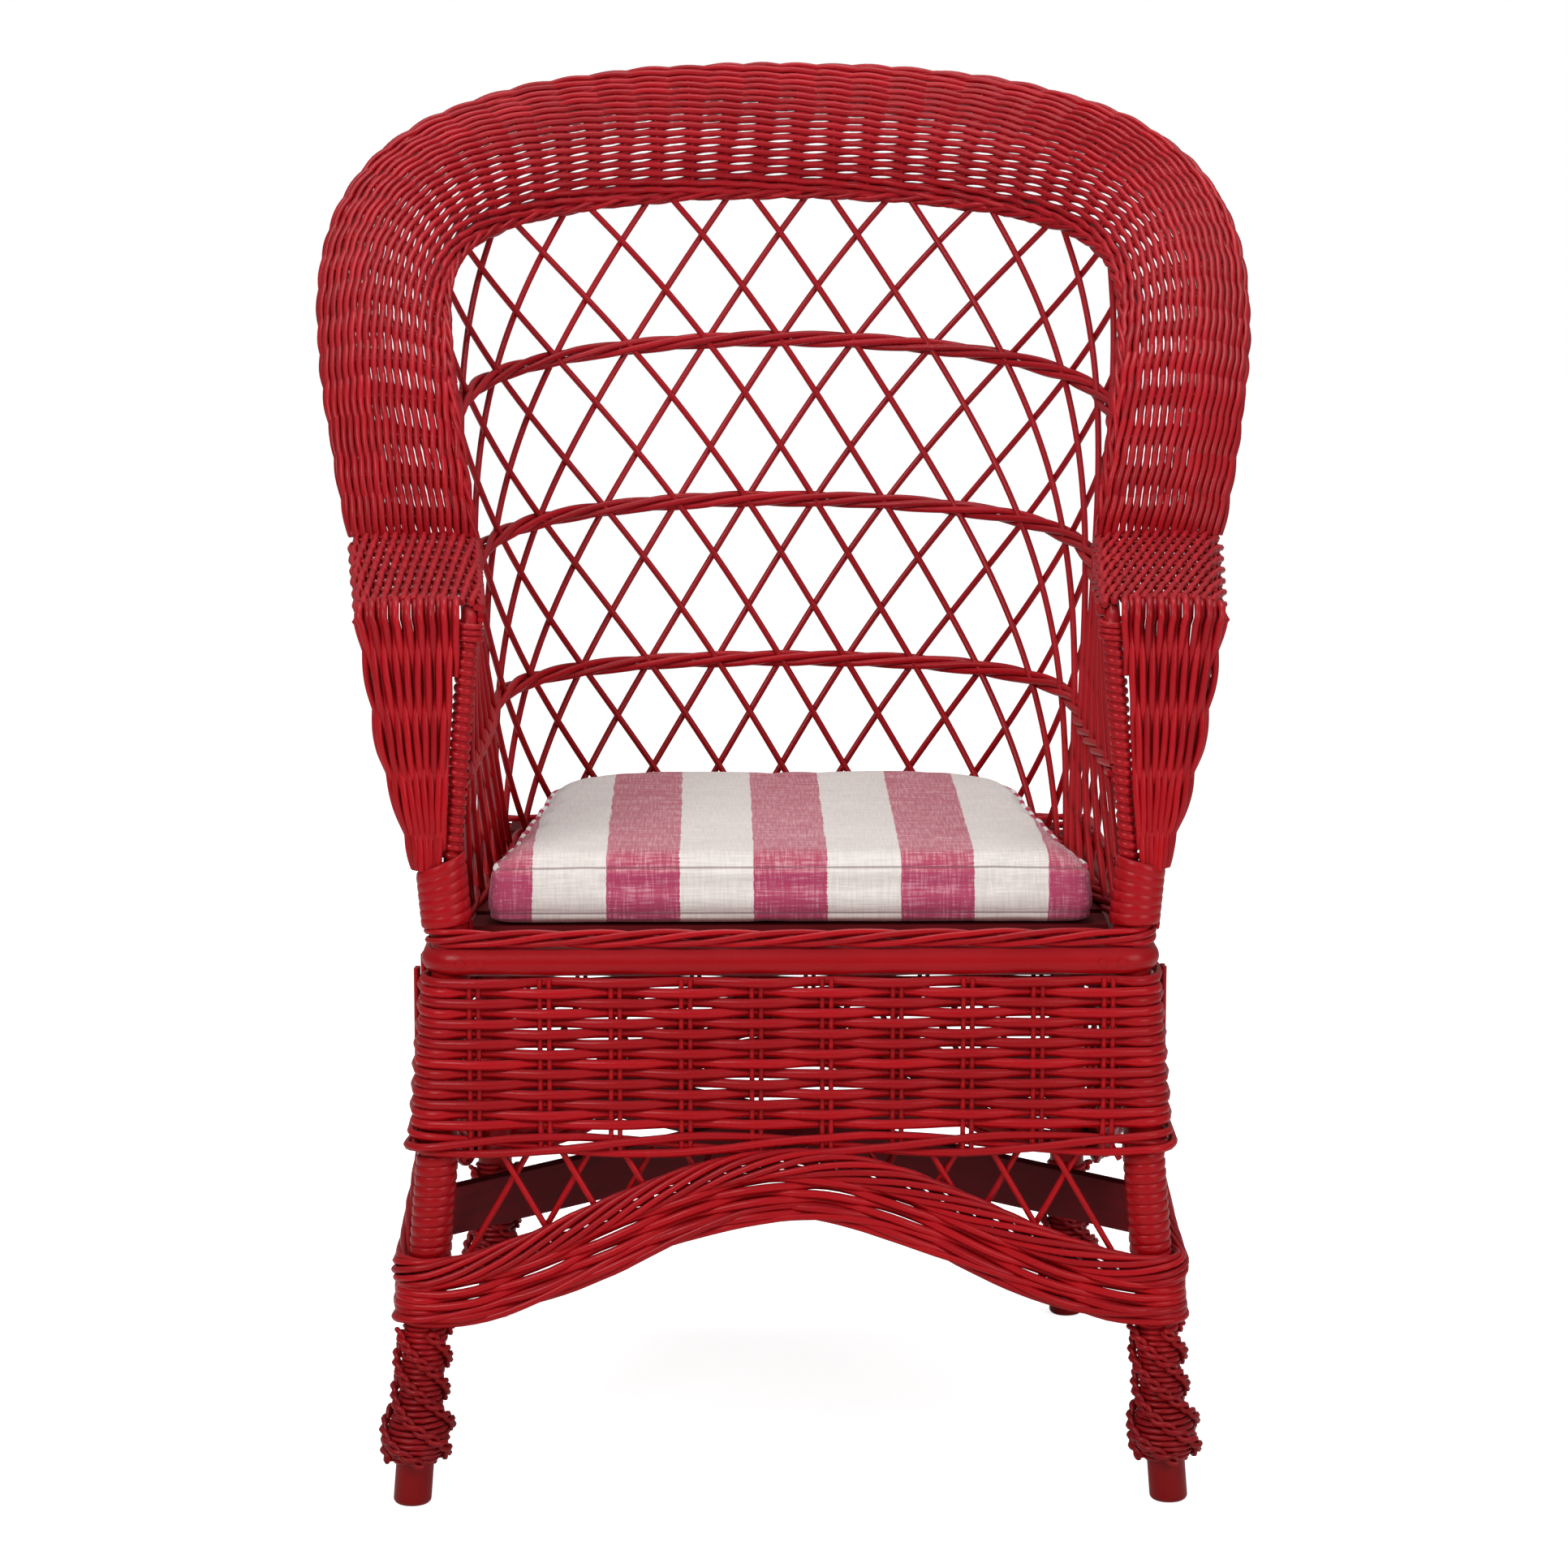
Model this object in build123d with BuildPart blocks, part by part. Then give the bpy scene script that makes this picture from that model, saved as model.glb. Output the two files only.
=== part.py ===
from build123d import *
from math import acos, cos, degrees, pi, radians, sin, tan
import os

# Wicker armchair with a loose box cushion. Millimetres. X to the sitter's left, Y to the back, Z up.
# While it is modelled, Y = 0 is midway between the front and rear feet. The finished pieces are
# moved together at the end, so that the origin is the bottom centre of the whole chair's box.

# Overall sizes
FOOT_SPAN_FRONT = 560  # between the front foot centres
FOOT_SPAN_REAR = 481
FOOT_DEPTH = 500  # front foot centres to rear foot centres
DECK_TOP = 430  # height of the seat deck, where the cushion lies
ARM_FRONT_Z = 660  # arm pole height at the front
ARM_REAR_Z = 684  # arm pole height where the arm meets the rolled back
CREST_Z = 943  # height of the inner hoop at the middle of the back

# Pole and reed sizes
LEG_D = 28
RAIL_D = 21
INNER_RAIL_D = 20
HOOP_D = 12
STAKE_D = 5
BAND_D = 7
BORDER_ROPE_D = 9
FIT = 0.3  # working clearance between separate pieces
PLAY = 0.3  # clearance between reeds woven round each other
HOOP_SEAT = 0.9  # height of the hoops' ends above the arm poles, at the rear
ROLL_FIT = 0.7  # clearance of the woven panels from the hoops and poles that they hang on
HOOP_STEPS = 18  # arcs that make up each half of a hoop
BEND_SHARE = 0.45  # share of a straight run that each arc at its end takes up
STRAIGHT = 0.002  # radians of turn under which a run counts as straight

# Legs
LEG_SPAN_AT_RAIL_FRONT = 492
LEG_SPAN_AT_RAIL_REAR = 470
LEG_DEPTH_AT_RAIL_REAR = 200  # Y of the rear leg centres at rail height
LEG_TOP_SPREAD = 6  # the front legs lean out again above the rail
LEG_TOP_FRONT = 474
LEG_BEND = 150
FOOT_ROUND = 4

# Foot wrap, as heights along the leg and radii
WRAP_LOW = 30
WRAP_HIGH = 126
WRAP_BULGE_Z = 52
WRAP_BULGE_R = 31
WRAP_WAIST_R = 21.5
WRAP_BOTTOM_R = 18.5

# Bindings round the legs
BINDING_T = 1.6
CORNER_BINDING_T = 2.5
BINDING_LOW = 184
BINDING_HIGH = 263

# Seat frame
RAIL_Z = 410
RAIL_OFFSET = 12  # how far the bent rail's axis runs outside the leg axes
RAIL_BEND = 18
RAIL_RETURN = 45  # how far the bent ends run along the sides
SLAT_T = 9
SLAT_W = 42
SLAT_COUNT = 8
SLAT_LENGTH = 464
NAIL_HEAD_D = 6
NAIL_HEAD_T = 1.2
NAIL_PITCH = 14

# Apron and skirt
APRON_LOW = 264
APRON_T = 7
APRON_CORNER = 30  # how far the front and rear panels run round behind the legs
SKIRT_T = 10
SKIRT_LOW_Z = 135
SKIRT_LOW_RISE = 88
SKIRT_HIGH_Z = 188
SKIRT_HIGH_RISE = 83
SKIRT_HIGH_POWER = 1.6
SKIRT_WRAP_LOW = 129
SKIRT_WRAP_HIGH = 181
SKIRT_WRAP_T = 9
SKIRT_STAKE_PITCH = 48
SKIRT_STAKE_LEAN = 30

# X stretcher
BOARD_Z = 202
BOARD_H = 35
BOARD_T = 12
SCREW_D = 5
SCREW_HEAD_D = 10
SCREW_HEAD_T = 2.5
SCREW_LENGTH = 33

# Barrel wall: half widths and depths grow with height above the deck
WALL_HALF_WIDTH = 222
WALL_FLARE = 0.06
WALL_FLARE_GROWTH = 0.00013
WALL_DEPTH = 200
WALL_RECLINE = 0.13
WALL_RECLINE_GROWTH = 0.000135
WALL_SQUARENESS = 3
STILE_HALF_SPAN = 230.4  # front stile at the arm
STILE_TOP_Z = 655
STILE_LEAN = 0.05
STILE_Y = -250
CORNER_NODES = 7  # lattice crossings from the middle of the back to the side
SIDE_NODES = 5  # lattice crossings along the straight side
BAND_RISE = 128.5
BAND_DIP = 20
BAND_COUNT = 4
STAKE_SHIFT = 1.5  # crossings that a stake moves over from one band to the next
SEAT_RING_Z = DECK_TOP + FIT + BAND_D / 2

# Rolled border of the back
ROLL_START_NODE = 7.6
ROLL_SHAPE = 2.3
ROLL_WIDTH_CREST = 91.4
ROLL_WIDTH_ARM_REAR = 76
ROLL_WIDTH_ARM_FRONT = 71
ROLL_CURL = 0.32
ROLL_TURN_END = 60  # degrees round the hoop at which the roll has turned level
ROLL_BULGE = 17
WEAVE_T = 7
ARM_TOP_END = 0.965  # share of the arm's length that the top weave covers
ARM_FRONT_TIP = 0.06  # share of the stiles' length left open at the bottom of the arm front
ARM_BULGE = 2
ARM_CORNER_R = 14
STILE_FOOT_INNER = -6  # where the stiles stand, from the centre of the leg top
STILE_FOOT_OUTER = 9
STILE_KNEE_IN = 18.4  # the outer stile bends here, inwards from the arm
STILE_KNEE_Z = 560
STILE_KNEE_BEND = 120

# Cushion
CUSHION_FRONT_HALF = 217
CUSHION_REAR_HALF = 188
CUSHION_FRONT_Y = -240
CUSHION_REAR_Y = 170
CUSHION_T = 46
CUSHION_FRONT_R = 12
CUSHION_REAR_R = 85
CUSHION_EDGE_R = 5
COVER_T = 1.5

LEG_R = LEG_D / 2
HOOP_R = HOOP_D / 2
FOOT_FRONT_Y = -FOOT_DEPTH / 2
FOOT_REAR_Y = FOOT_DEPTH / 2
SIDES = (("left", -1), ("right", 1))
pieces = []


def finish(name, piece):
    """Label a piece and keep it for writing."""
    piece.part.label = name
    pieces.append(piece.part)
    return piece


def finish_group(name, members):
    """Keep like pieces together as the separate solids of one node."""
    group = Compound([solid for member in members for solid in member.part.solids()])
    group.label = name
    pieces.append(group)


# Where things are ---------------------------------------------------------------------------


def leg_foot(side, front):
    """Centre of a foot on the floor."""
    span = FOOT_SPAN_FRONT if front else FOOT_SPAN_REAR
    return Vector(side * span / 2, FOOT_FRONT_Y if front else FOOT_REAR_Y, 0)


def leg_at_rail(side, front):
    """Leg centre at the height of the bent rail."""
    span = LEG_SPAN_AT_RAIL_FRONT if front else LEG_SPAN_AT_RAIL_REAR
    return Vector(side * span / 2, FOOT_FRONT_Y if front else LEG_DEPTH_AT_RAIL_REAR, RAIL_Z)


def leg_at(side, front, height):
    """Leg centre at any height up to the rail."""
    foot = leg_foot(side, front)
    return foot + (leg_at_rail(side, front) - foot) * (height / RAIL_Z)


def wall_point(node, height, lift=0):
    """A point of the barrel wall. Node counts lattice crossings from the middle of the back,
    and lift moves the point outwards along the wall's normal in plan."""
    side = 1 if node >= 0 else -1
    rise = height - DECK_TOP
    half = WALL_HALF_WIDTH + WALL_FLARE * rise + WALL_FLARE_GROWTH * rise**2
    deep = WALL_DEPTH + WALL_RECLINE * rise + WALL_RECLINE_GROWTH * rise**2
    if abs(node) <= CORNER_NODES:
        turn = radians(90 - 90 * abs(node) / CORNER_NODES)
        reach = (cos(turn) ** WALL_SQUARENESS + sin(turn) ** WALL_SQUARENESS) ** (-1 / WALL_SQUARENESS)
        x, y = half * cos(turn) * reach, deep * sin(turn) * reach
        normal_x = (x / half) ** (WALL_SQUARENESS - 1) / half
        normal_y = (y / deep) ** (WALL_SQUARENESS - 1) / deep
    else:
        along = (abs(node) - CORNER_NODES) / SIDE_NODES
        front = STILE_HALF_SPAN + STILE_LEAN * (STILE_TOP_Z - height)
        x = front + (half - front) * (1 + cos(pi * along)) / 2
        y = STILE_Y * along
        normal_x, normal_y = 1, 0
    size = (normal_x**2 + normal_y**2) ** 0.5
    return Vector(side * (x + lift * normal_x / size), y + lift * normal_y / size, height)


def band_height(node, level):
    """Height of a twined band: the bands droop a little towards the front."""
    droop = 1 - cos(radians(90) * min(abs(node) / CORNER_NODES, 1))
    return SEAT_RING_Z + BAND_RISE * level - BAND_DIP * level * droop


def inner_rim(turn):
    """Inner hoop at a turn of -90 to 90 degrees from the middle of the crest."""
    side = 1 if turn >= 0 else -1
    angle = radians(abs(turn))
    node = side * ROLL_START_NODE * sin(angle) ** (2 / ROLL_SHAPE)
    return wall_point(node, ARM_REAR_Z + (CREST_Z - ARM_REAR_Z) * cos(angle))


def roll_direction(turn):
    """Unit vector across the roll, from the inner hoop to the outer one."""
    side = 1 if turn >= 0 else -1
    share = min(1, abs(turn) / ROLL_TURN_END)
    lean = radians(90) * share**2 * (3 - 2 * share)
    curl = ROLL_CURL * (1 - (abs(turn) / 90) ** 3)
    return Vector(side * sin(lean), curl, cos(lean)).normalized()


def roll_width(turn):
    """Distance between the two hoops."""
    return ROLL_WIDTH_CREST - (ROLL_WIDTH_CREST - ROLL_WIDTH_ARM_REAR) * (abs(turn) / 90) ** 2


def outer_rim(turn):
    """Outer hoop at the same turn."""
    return inner_rim(turn) + roll_direction(turn) * roll_width(turn)


def arm_inner(side, share):
    """Inner arm pole: share 0 at the rear of the arm, 1 at its front."""
    rear = inner_rim(90)
    front = Vector(STILE_HALF_SPAN, STILE_Y, ARM_FRONT_Z)
    point = rear + (front - rear) * share
    return Vector(side * point.X, point.Y, point.Z)


def arm_outer(side, share):
    """Outer arm pole."""
    width = ROLL_WIDTH_ARM_REAR + (ROLL_WIDTH_ARM_FRONT - ROLL_WIDTH_ARM_REAR) * share
    return arm_inner(side, share) + Vector(side * width, 0, 0)


def stile_foot(side, outer):
    """Bottom of a stile, on top of the front leg."""
    top = leg_at_rail(side, True)
    reach = STILE_FOOT_OUTER if outer else STILE_FOOT_INNER
    return Vector(top.X + side * (LEG_TOP_SPREAD + reach), STILE_Y, LEG_TOP_FRONT + PLAY)


def stile_knee(side):
    """Where the outer stile bends in towards the leg."""
    return Vector(arm_outer(side, 1).X - side * STILE_KNEE_IN, STILE_Y, STILE_KNEE_Z)


def pole(points, diameter, bend=0):
    """A round pole along straight runs, joined by bends of one radius."""
    with BuildPart() as made:
        with BuildLine():
            if len(points) == 2:
                run = Line(*points)
            else:
                run = FilletPolyline(*points, radius=bend)
        with BuildSketch(Plane(origin=run @ 0, z_dir=run % 0)):
            Circle(diameter / 2)
        sweep()
    return made


def bent_rod(points, diameter):
    """A round rod along a smooth curve through the points, as a run of tangent arcs. Each corner
    of the run stands an eighth of its turn outside the curve, so that the arcs lie on it."""
    corners = [points[0]]
    for before, here, after in zip(points, points[1:], points[2:]):
        turning = (after - here).normalized() - (here - before).normalized()
        if turning.length > STRAIGHT:
            shorter = min((after - here).length, (here - before).length)
            corners.append(here - turning * (shorter / 8))
    corners.append(points[-1])
    bends = []
    for before, here, after in zip(corners, corners[1:], corners[2:]):
        shorter = min((after - here).length, (here - before).length)
        turn = (here - before).get_angle(after - here)
        bends.append(shorter * BEND_SHARE / tan(radians(turn / 2)))
    return pole(corners, diameter, bends)


# Legs, each one pole from the floor up, notched on the outside for the bent rail --------------

legs = {}
for place, front in (("front", True), ("rear", False)):
    for name, side in SIDES:
        foot = leg_foot(side, front)
        knee = leg_at_rail(side, front)
        below = foot + (foot - knee).normalized() * LEG_R
        if front:
            top = Vector(knee.X + side * LEG_TOP_SPREAD, knee.Y, LEG_TOP_FRONT + LEG_R)
            leg = pole((below, knee, top), LEG_D, LEG_BEND)
            top_z = LEG_TOP_FRONT
        else:
            above = knee + (knee - foot).normalized() * LEG_R
            top_z = DECK_TOP - SLAT_T - FIT
            leg = pole((below, above), LEG_D)
        with leg:
            split(bisect_by=Plane.XY, keep=Keep.TOP)
            split(bisect_by=Plane.XY.offset(top_z), keep=Keep.BOTTOM)
            fillet(leg.edges().sort_by(Axis.Z)[0], FOOT_ROUND)
        legs[name, place] = leg

# Bent seat rail: one pole round the outside of the legs, in four lengths ---------------------

rail_corner = {}
for name, side in SIDES:
    for place, front, out in (("front", True, -1), ("rear", False, 1)):
        knee = leg_at_rail(side, front)
        rail_corner[side, place] = knee + Vector(side * RAIL_OFFSET, out * RAIL_OFFSET, 0)

side_run = {}
for name, side in SIDES:
    ahead, behind = rail_corner[side, "front"], rail_corner[side, "rear"]
    along = (behind - ahead).normalized()
    side_run[side] = (ahead + along * RAIL_RETURN, behind - along * RAIL_RETURN)

rails = {}
for place, end in (("front", 0), ("rear", 1)):
    corners = (rail_corner[-1, place], rail_corner[1, place])
    path = (side_run[-1][end], *corners, side_run[1][end])
    rails[place] = finish(f"seat_rail_{place}", pole(path, RAIL_D, RAIL_BEND))
for name, side in SIDES:
    rails[name] = finish(f"seat_rail_{name}", pole(side_run[side], RAIL_D))

for (name, place), leg in legs.items():
    with leg:
        for rail in rails.values():
            add(rail.part, mode=Mode.SUBTRACT)
    finish(f"leg_{place}_{name}", leg)

# Inner seat rails, coped to the legs, which carry the slats ----------------------------------

inset = (RAIL_D + INNER_RAIL_D) / 2 + FIT
inner_z = RAIL_Z + (RAIL_D - INNER_RAIL_D) / 2
inner_front_y = rail_corner[1, "front"].Y + inset
inner_rear_y = rail_corner[1, "rear"].Y - inset
inner_lines = {
    "front": [Vector(leg_at_rail(side, True).X, inner_front_y, inner_z) for side in (-1, 1)],
    "rear": [Vector(leg_at_rail(side, False).X, inner_rear_y, inner_z) for side in (-1, 1)],
}
for name, side in SIDES:
    ends = []
    for front, y in ((True, STILE_Y), (False, LEG_DEPTH_AT_RAIL_REAR)):
        ends.append(Vector(leg_at_rail(side, front).X + side * (RAIL_OFFSET - inset), y, inner_z))
    inner_lines[name] = ends

inner_rails = {}
for place in ("front", "rear", "left", "right"):
    rail = pole(inner_lines[place], INNER_RAIL_D)
    with rail:
        for leg in legs.values():
            add(leg.part, mode=Mode.SUBTRACT)
        if place in ("left", "right"):
            for other in ("front", "rear"):
                add(inner_rails[other].part, mode=Mode.SUBTRACT)
        keep = rail.solids().sort_by(SortBy.VOLUME)[-1]
    with BuildPart() as trimmed:
        add(keep)
    inner_rails[place] = trimmed
finish_group("inner_cross_rails", [inner_rails["front"], inner_rails["rear"]])
finish_group("inner_side_rails", [inner_rails["left"], inner_rails["right"]])

# Seat slats, resting on the inner side rails --------------------------------------------------

slat_front_y = inner_front_y + INNER_RAIL_D / 2 + SLAT_W / 2
slat_rear_y = rail_corner[1, "rear"].Y - BORDER_ROPE_D / 2 - FIT - SLAT_W / 2
slat_pitch = (slat_rear_y - slat_front_y) / (SLAT_COUNT - 1)
with BuildPart() as seat_slats:
    for row in range(SLAT_COUNT):
        centre = (0, slat_front_y + slat_pitch * row, DECK_TOP - SLAT_T / 2)
        inboard = row in (0, SLAT_COUNT - 1)
        length = 2 * (leg_at_rail(1, row == 0).X - LEG_R - FIT) if inboard else SLAT_LENGTH
        with Locations(centre):
            Box(min(length, SLAT_LENGTH), SLAT_W, SLAT_T)
finish("seat_slats", seat_slats)

# Nails that hold the bent rail, a pair into each front leg -------------------------------------

rail_face_y = rail_corner[1, "front"].Y - RAIL_D / 2
rail_face = Plane(origin=(0, rail_face_y, RAIL_Z), x_dir=(1, 0, 0), z_dir=(0, -1, 0))
with BuildPart() as rail_nails:
    for name, side in SIDES:
        knee = leg_at_rail(side, True)
        for step in (-1, 1):
            across = knee.X - side * NAIL_PITCH + step * NAIL_PITCH / 2
            with BuildSketch(rail_face.offset(-NAIL_HEAD_T / 2)):
                with Locations((across, 0)):
                    Circle(NAIL_HEAD_D / 2)
    extrude(amount=NAIL_HEAD_T)
    add(rails["front"].part, mode=Mode.SUBTRACT)
finish("rail_nails", rail_nails)

# Foot wraps: turned outline of the coiled and braided reed round each foot --------------------

for place, front in (("front", True), ("rear", False)):
    for name, side in SIDES:
        foot = leg_foot(side, front)
        up = (leg_at_rail(side, front) - foot).normalized()
        across = up.cross(Vector(0, 1, 0)).normalized()
        bore = LEG_R + PLAY
        with BuildPart() as foot_wrap:
            with BuildSketch(Plane(origin=foot, x_dir=across, z_dir=across.cross(up))):
                with BuildLine():
                    Line((bore, WRAP_LOW), (WRAP_BOTTOM_R, WRAP_LOW))
                    Spline(
                        (WRAP_BOTTOM_R, WRAP_LOW),
                        (WRAP_BULGE_R, WRAP_BULGE_Z),
                        (WRAP_WAIST_R, (WRAP_BULGE_Z + WRAP_HIGH) / 2),
                        (WRAP_WAIST_R, WRAP_HIGH),
                    )
                    Polyline((WRAP_WAIST_R, WRAP_HIGH), (bore, WRAP_HIGH), (bore, WRAP_LOW))
                make_face()
            revolve(axis=Axis(foot, up))
        finish(f"foot_wrap_{place}_{name}", foot_wrap)


def sleeve(start, end, bore, outside):
    """A tube round a leg between two of its centres."""
    with BuildSketch(Plane(origin=start, z_dir=end - start)) as ring:
        Circle(outside)
        Circle(bore, mode=Mode.SUBTRACT)
    extrude(ring.sketch, amount=(end - start).length)


# Cane bindings wound round the legs, and the wider ones that tie the arm stiles to the legs ----

with BuildPart() as leg_bindings:
    for front in (True, False):
        for name, side in SIDES:
            ends = [leg_at(side, front, height) for height in (BINDING_LOW, BINDING_HIGH)]
            sleeve(*ends, LEG_R + PLAY, LEG_R + BINDING_T)
finish("leg_bindings", leg_bindings)

corner_bindings = []
for name, side in SIDES:
    knee = leg_at_rail(side, True)
    top = Vector(knee.X + side * LEG_TOP_SPREAD, knee.Y, LEG_TOP_FRONT + LEG_R)
    up = (top - knee).normalized()
    low = knee + up * (DECK_TOP + FIT + PLAY - RAIL_Z)
    high = knee + up * (LEG_TOP_FRONT - RAIL_Z)
    with BuildPart() as corner_binding:
        sleeve(low, high, LEG_R + PLAY, LEG_R + CORNER_BINDING_T)
        add(legs[name, "front"].part, mode=Mode.SUBTRACT)
    corner_bindings.append(corner_binding)
finish_group("corner_bindings", corner_bindings)

# Apron: woven ring round the outside of the legs, in four panels ------------------------------


def leg_ring(height, reach):
    """Outline round the four legs at a height."""
    with BuildSketch(Plane.XY.offset(height)) as outline:
        with BuildLine():
            corners = [leg_at(side, True, height) for side in (-1, 1)]
            corners += [leg_at(side, False, height) for side in (1, -1)]
            Polyline(*[(corner.X, corner.Y) for corner in corners], close=True)
        make_face()
        offset(amount=reach, kind=Kind.ARC)
    return outline


APRON_HIGH = RAIL_Z - RAIL_D / 2 - FIT
apron_in = LEG_R + BINDING_T + FIT
with BuildPart() as apron_ring:
    loft([leg_ring(height, apron_in + APRON_T).sketch for height in (APRON_LOW, APRON_HIGH)])
    loft(
        [leg_ring(height, apron_in).sketch for height in (APRON_LOW, APRON_HIGH)],
        mode=Mode.SUBTRACT,
    )

front_cut = Plane.XZ.offset(-(FOOT_FRONT_Y + APRON_CORNER))
rear_cut = Plane.XZ.offset(-(LEG_DEPTH_AT_RAIL_REAR - APRON_CORNER))
rope_z = RAIL_Z + RAIL_D / 2 + BORDER_ROPE_D / 2
apron = {}
for place in ("front", "rear", "left", "right"):
    with BuildPart() as panel:
        add(apron_ring.part)
        if place == "front":
            split(bisect_by=front_cut, keep=Keep.TOP)
        elif place == "rear":
            split(bisect_by=rear_cut, keep=Keep.BOTTOM)
        else:
            split(bisect_by=front_cut, keep=Keep.BOTTOM)
            split(bisect_by=rear_cut, keep=Keep.TOP)
            split(bisect_by=Plane.YZ, keep=Keep.BOTTOM if place == "left" else Keep.TOP)
        if place in ("front", "rear"):
            ends = [rail_corner[side, place] for side in (-1, 1)]
        else:
            side = -1 if place == "left" else 1
            ends = [rail_corner[side, corner] for corner in ("front", "rear")]
        run = (ends[1] - ends[0]).normalized()
        start = Vector(ends[0].X, ends[0].Y, rope_z) + run * (LEG_R + RAIL_OFFSET)
        length = (ends[1] - ends[0]).length - 2 * (LEG_R + RAIL_OFFSET)
        with BuildSketch(Plane(origin=start, z_dir=run)):
            Circle(BORDER_ROPE_D / 2)
        extrude(amount=length)
    apron[place] = finish(f"apron_{place}", panel)

# Skirt: arched woven border low between the legs, wraps round the legs and crossed stakes ------

skirt_out = LEG_R + BINDING_T + FIT
skirt = {}
with BuildPart() as skirt_wraps:
    for front in (True, False):
        for name, side in SIDES:
            ends = [leg_at(side, front, height) for height in (SKIRT_WRAP_LOW, SKIRT_WRAP_HIGH)]
            sleeve(*ends, LEG_R + PLAY, LEG_R + SKIRT_WRAP_T)
finish("skirt_wraps", skirt_wraps)


def skirt_low(share):
    """Lower edge of the border, from -1 to 1 between the legs."""
    return SKIRT_LOW_Z + SKIRT_LOW_RISE * cos(pi * share / 2) ** 2


def skirt_high(share):
    """Upper edge of the border."""
    return SKIRT_HIGH_Z + SKIRT_HIGH_RISE * abs(cos(pi * share / 2)) ** SKIRT_HIGH_POWER


SHARES = (-1, -0.75, -0.5, -0.25, 0, 0.25, 0.5, 0.75, 1)
middle_z = (SKIRT_WRAP_LOW + SKIRT_WRAP_HIGH) / 2
for place, start, end in (
    ("front", (-1, True), (1, True)),
    ("right", (1, True), (1, False)),
    ("rear", (1, False), (-1, False)),
    ("left", (-1, False), (-1, True)),
):
    near, far = leg_at(*start, middle_z), leg_at(*end, middle_z)
    run = (far - near).normalized()
    half = (far - near).length / 2
    half_high = (leg_at(*end, APRON_LOW) - leg_at(*start, APRON_LOW)).length / 2
    centre = (near + far) * 0.5
    base = (leg_at(*start, 0) + leg_at(*end, 0)) * 0.5
    face = Plane(origin=base, x_dir=run, z_dir=run.cross(centre - base))
    mid_plane = face.offset(skirt_out + SKIRT_T / 2)
    with BuildPart() as border:
        with BuildSketch(mid_plane):
            with BuildLine():
                low = Spline(*[(half * share, skirt_low(share)) for share in SHARES])
                high = Spline(*[(half * share, skirt_high(share)) for share in SHARES])
                Line(low @ 0, high @ 0)
                Line(low @ 1, high @ 1)
            make_face()
        extrude(amount=SKIRT_T / 2, both=True)
        split(bisect_by=Plane.XY.offset(APRON_LOW - FIT), keep=Keep.BOTTOM)
        for other in (skirt_wraps, leg_bindings, *legs.values()):
            add(other.part, mode=Mode.SUBTRACT)
        largest = border.solids().sort_by(SortBy.VOLUME)[-1]
    with BuildPart() as skirt_border:
        add(largest)
    finish(f"skirt_border_{place}", skirt_border)

    count = int(half / SKIRT_STAKE_PITCH)
    with BuildPart() as stakes:
        for layer in (-1, 1):
            plane = face.offset(skirt_out + SKIRT_T / 2 + layer * (STAKE_D / 2 + PLAY))
            lean = radians(SKIRT_STAKE_LEAN) * layer
            for number in range(-count, count + 1):
                top_x = SKIRT_STAKE_PITCH * number
                drop = APRON_LOW - SKIRT_LOW_Z
                foot_x = top_x + drop * sin(lean) / cos(lean)
                if max(abs(foot_x) - half, abs(top_x) - half_high) > -LEG_R - SKIRT_WRAP_T:
                    continue
                start_point = plane.from_local_coords((top_x, APRON_LOW + STAKE_D, 0))
                end_point = plane.from_local_coords((foot_x, APRON_LOW - drop, 0))
                with BuildSketch(Plane(origin=start_point, z_dir=end_point - start_point)):
                    Circle(STAKE_D / 2)
                extrude(amount=(end_point - start_point).length)
        top_cut = Plane.XY.offset(APRON_LOW - PLAY)
        split(bisect_by=top_cut, keep=Keep.BOTTOM)
        with BuildSketch(mid_plane):
            with BuildLine():
                low = Polyline((-half, 0), (half, 0))
                high = Spline(*[(half * share, skirt_high(share)) for share in SHARES])
                Line(low @ 0, high @ 0)
                Line(low @ 1, high @ 1)
            make_face()
        extrude(amount=SKIRT_T, both=True, mode=Mode.SUBTRACT)
    finish(f"skirt_stakes_{place}", stakes)

# X stretcher: two boards between opposite legs, halved over each other, with a screw -----------

board_mid = BOARD_Z + BOARD_H / 2
boards = []
for side in (-1, 1):
    near, far = leg_at(side, True, board_mid), leg_at(-side, False, board_mid)
    run = Vector(far.X - near.X, far.Y - near.Y, 0)
    share = near.X / (near.X - far.X)
    crossing = Vector(0, near.Y + run.Y * share, board_mid)
    angle = Plane(origin=(near + far) * 0.5, x_dir=run.normalized(), z_dir=(0, 0, 1))
    with BuildPart() as board:
        with BuildSketch(angle.offset(-BOARD_H / 2)):
            Rectangle(run.length, BOARD_T)
        extrude(amount=BOARD_H)
        for leg in legs.values():
            add(leg.part, mode=Mode.SUBTRACT)
        add(leg_bindings.part, mode=Mode.SUBTRACT)
        largest = board.solids().sort_by(SortBy.VOLUME)[-1]
    boards.append((largest, run.normalized()))

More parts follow.
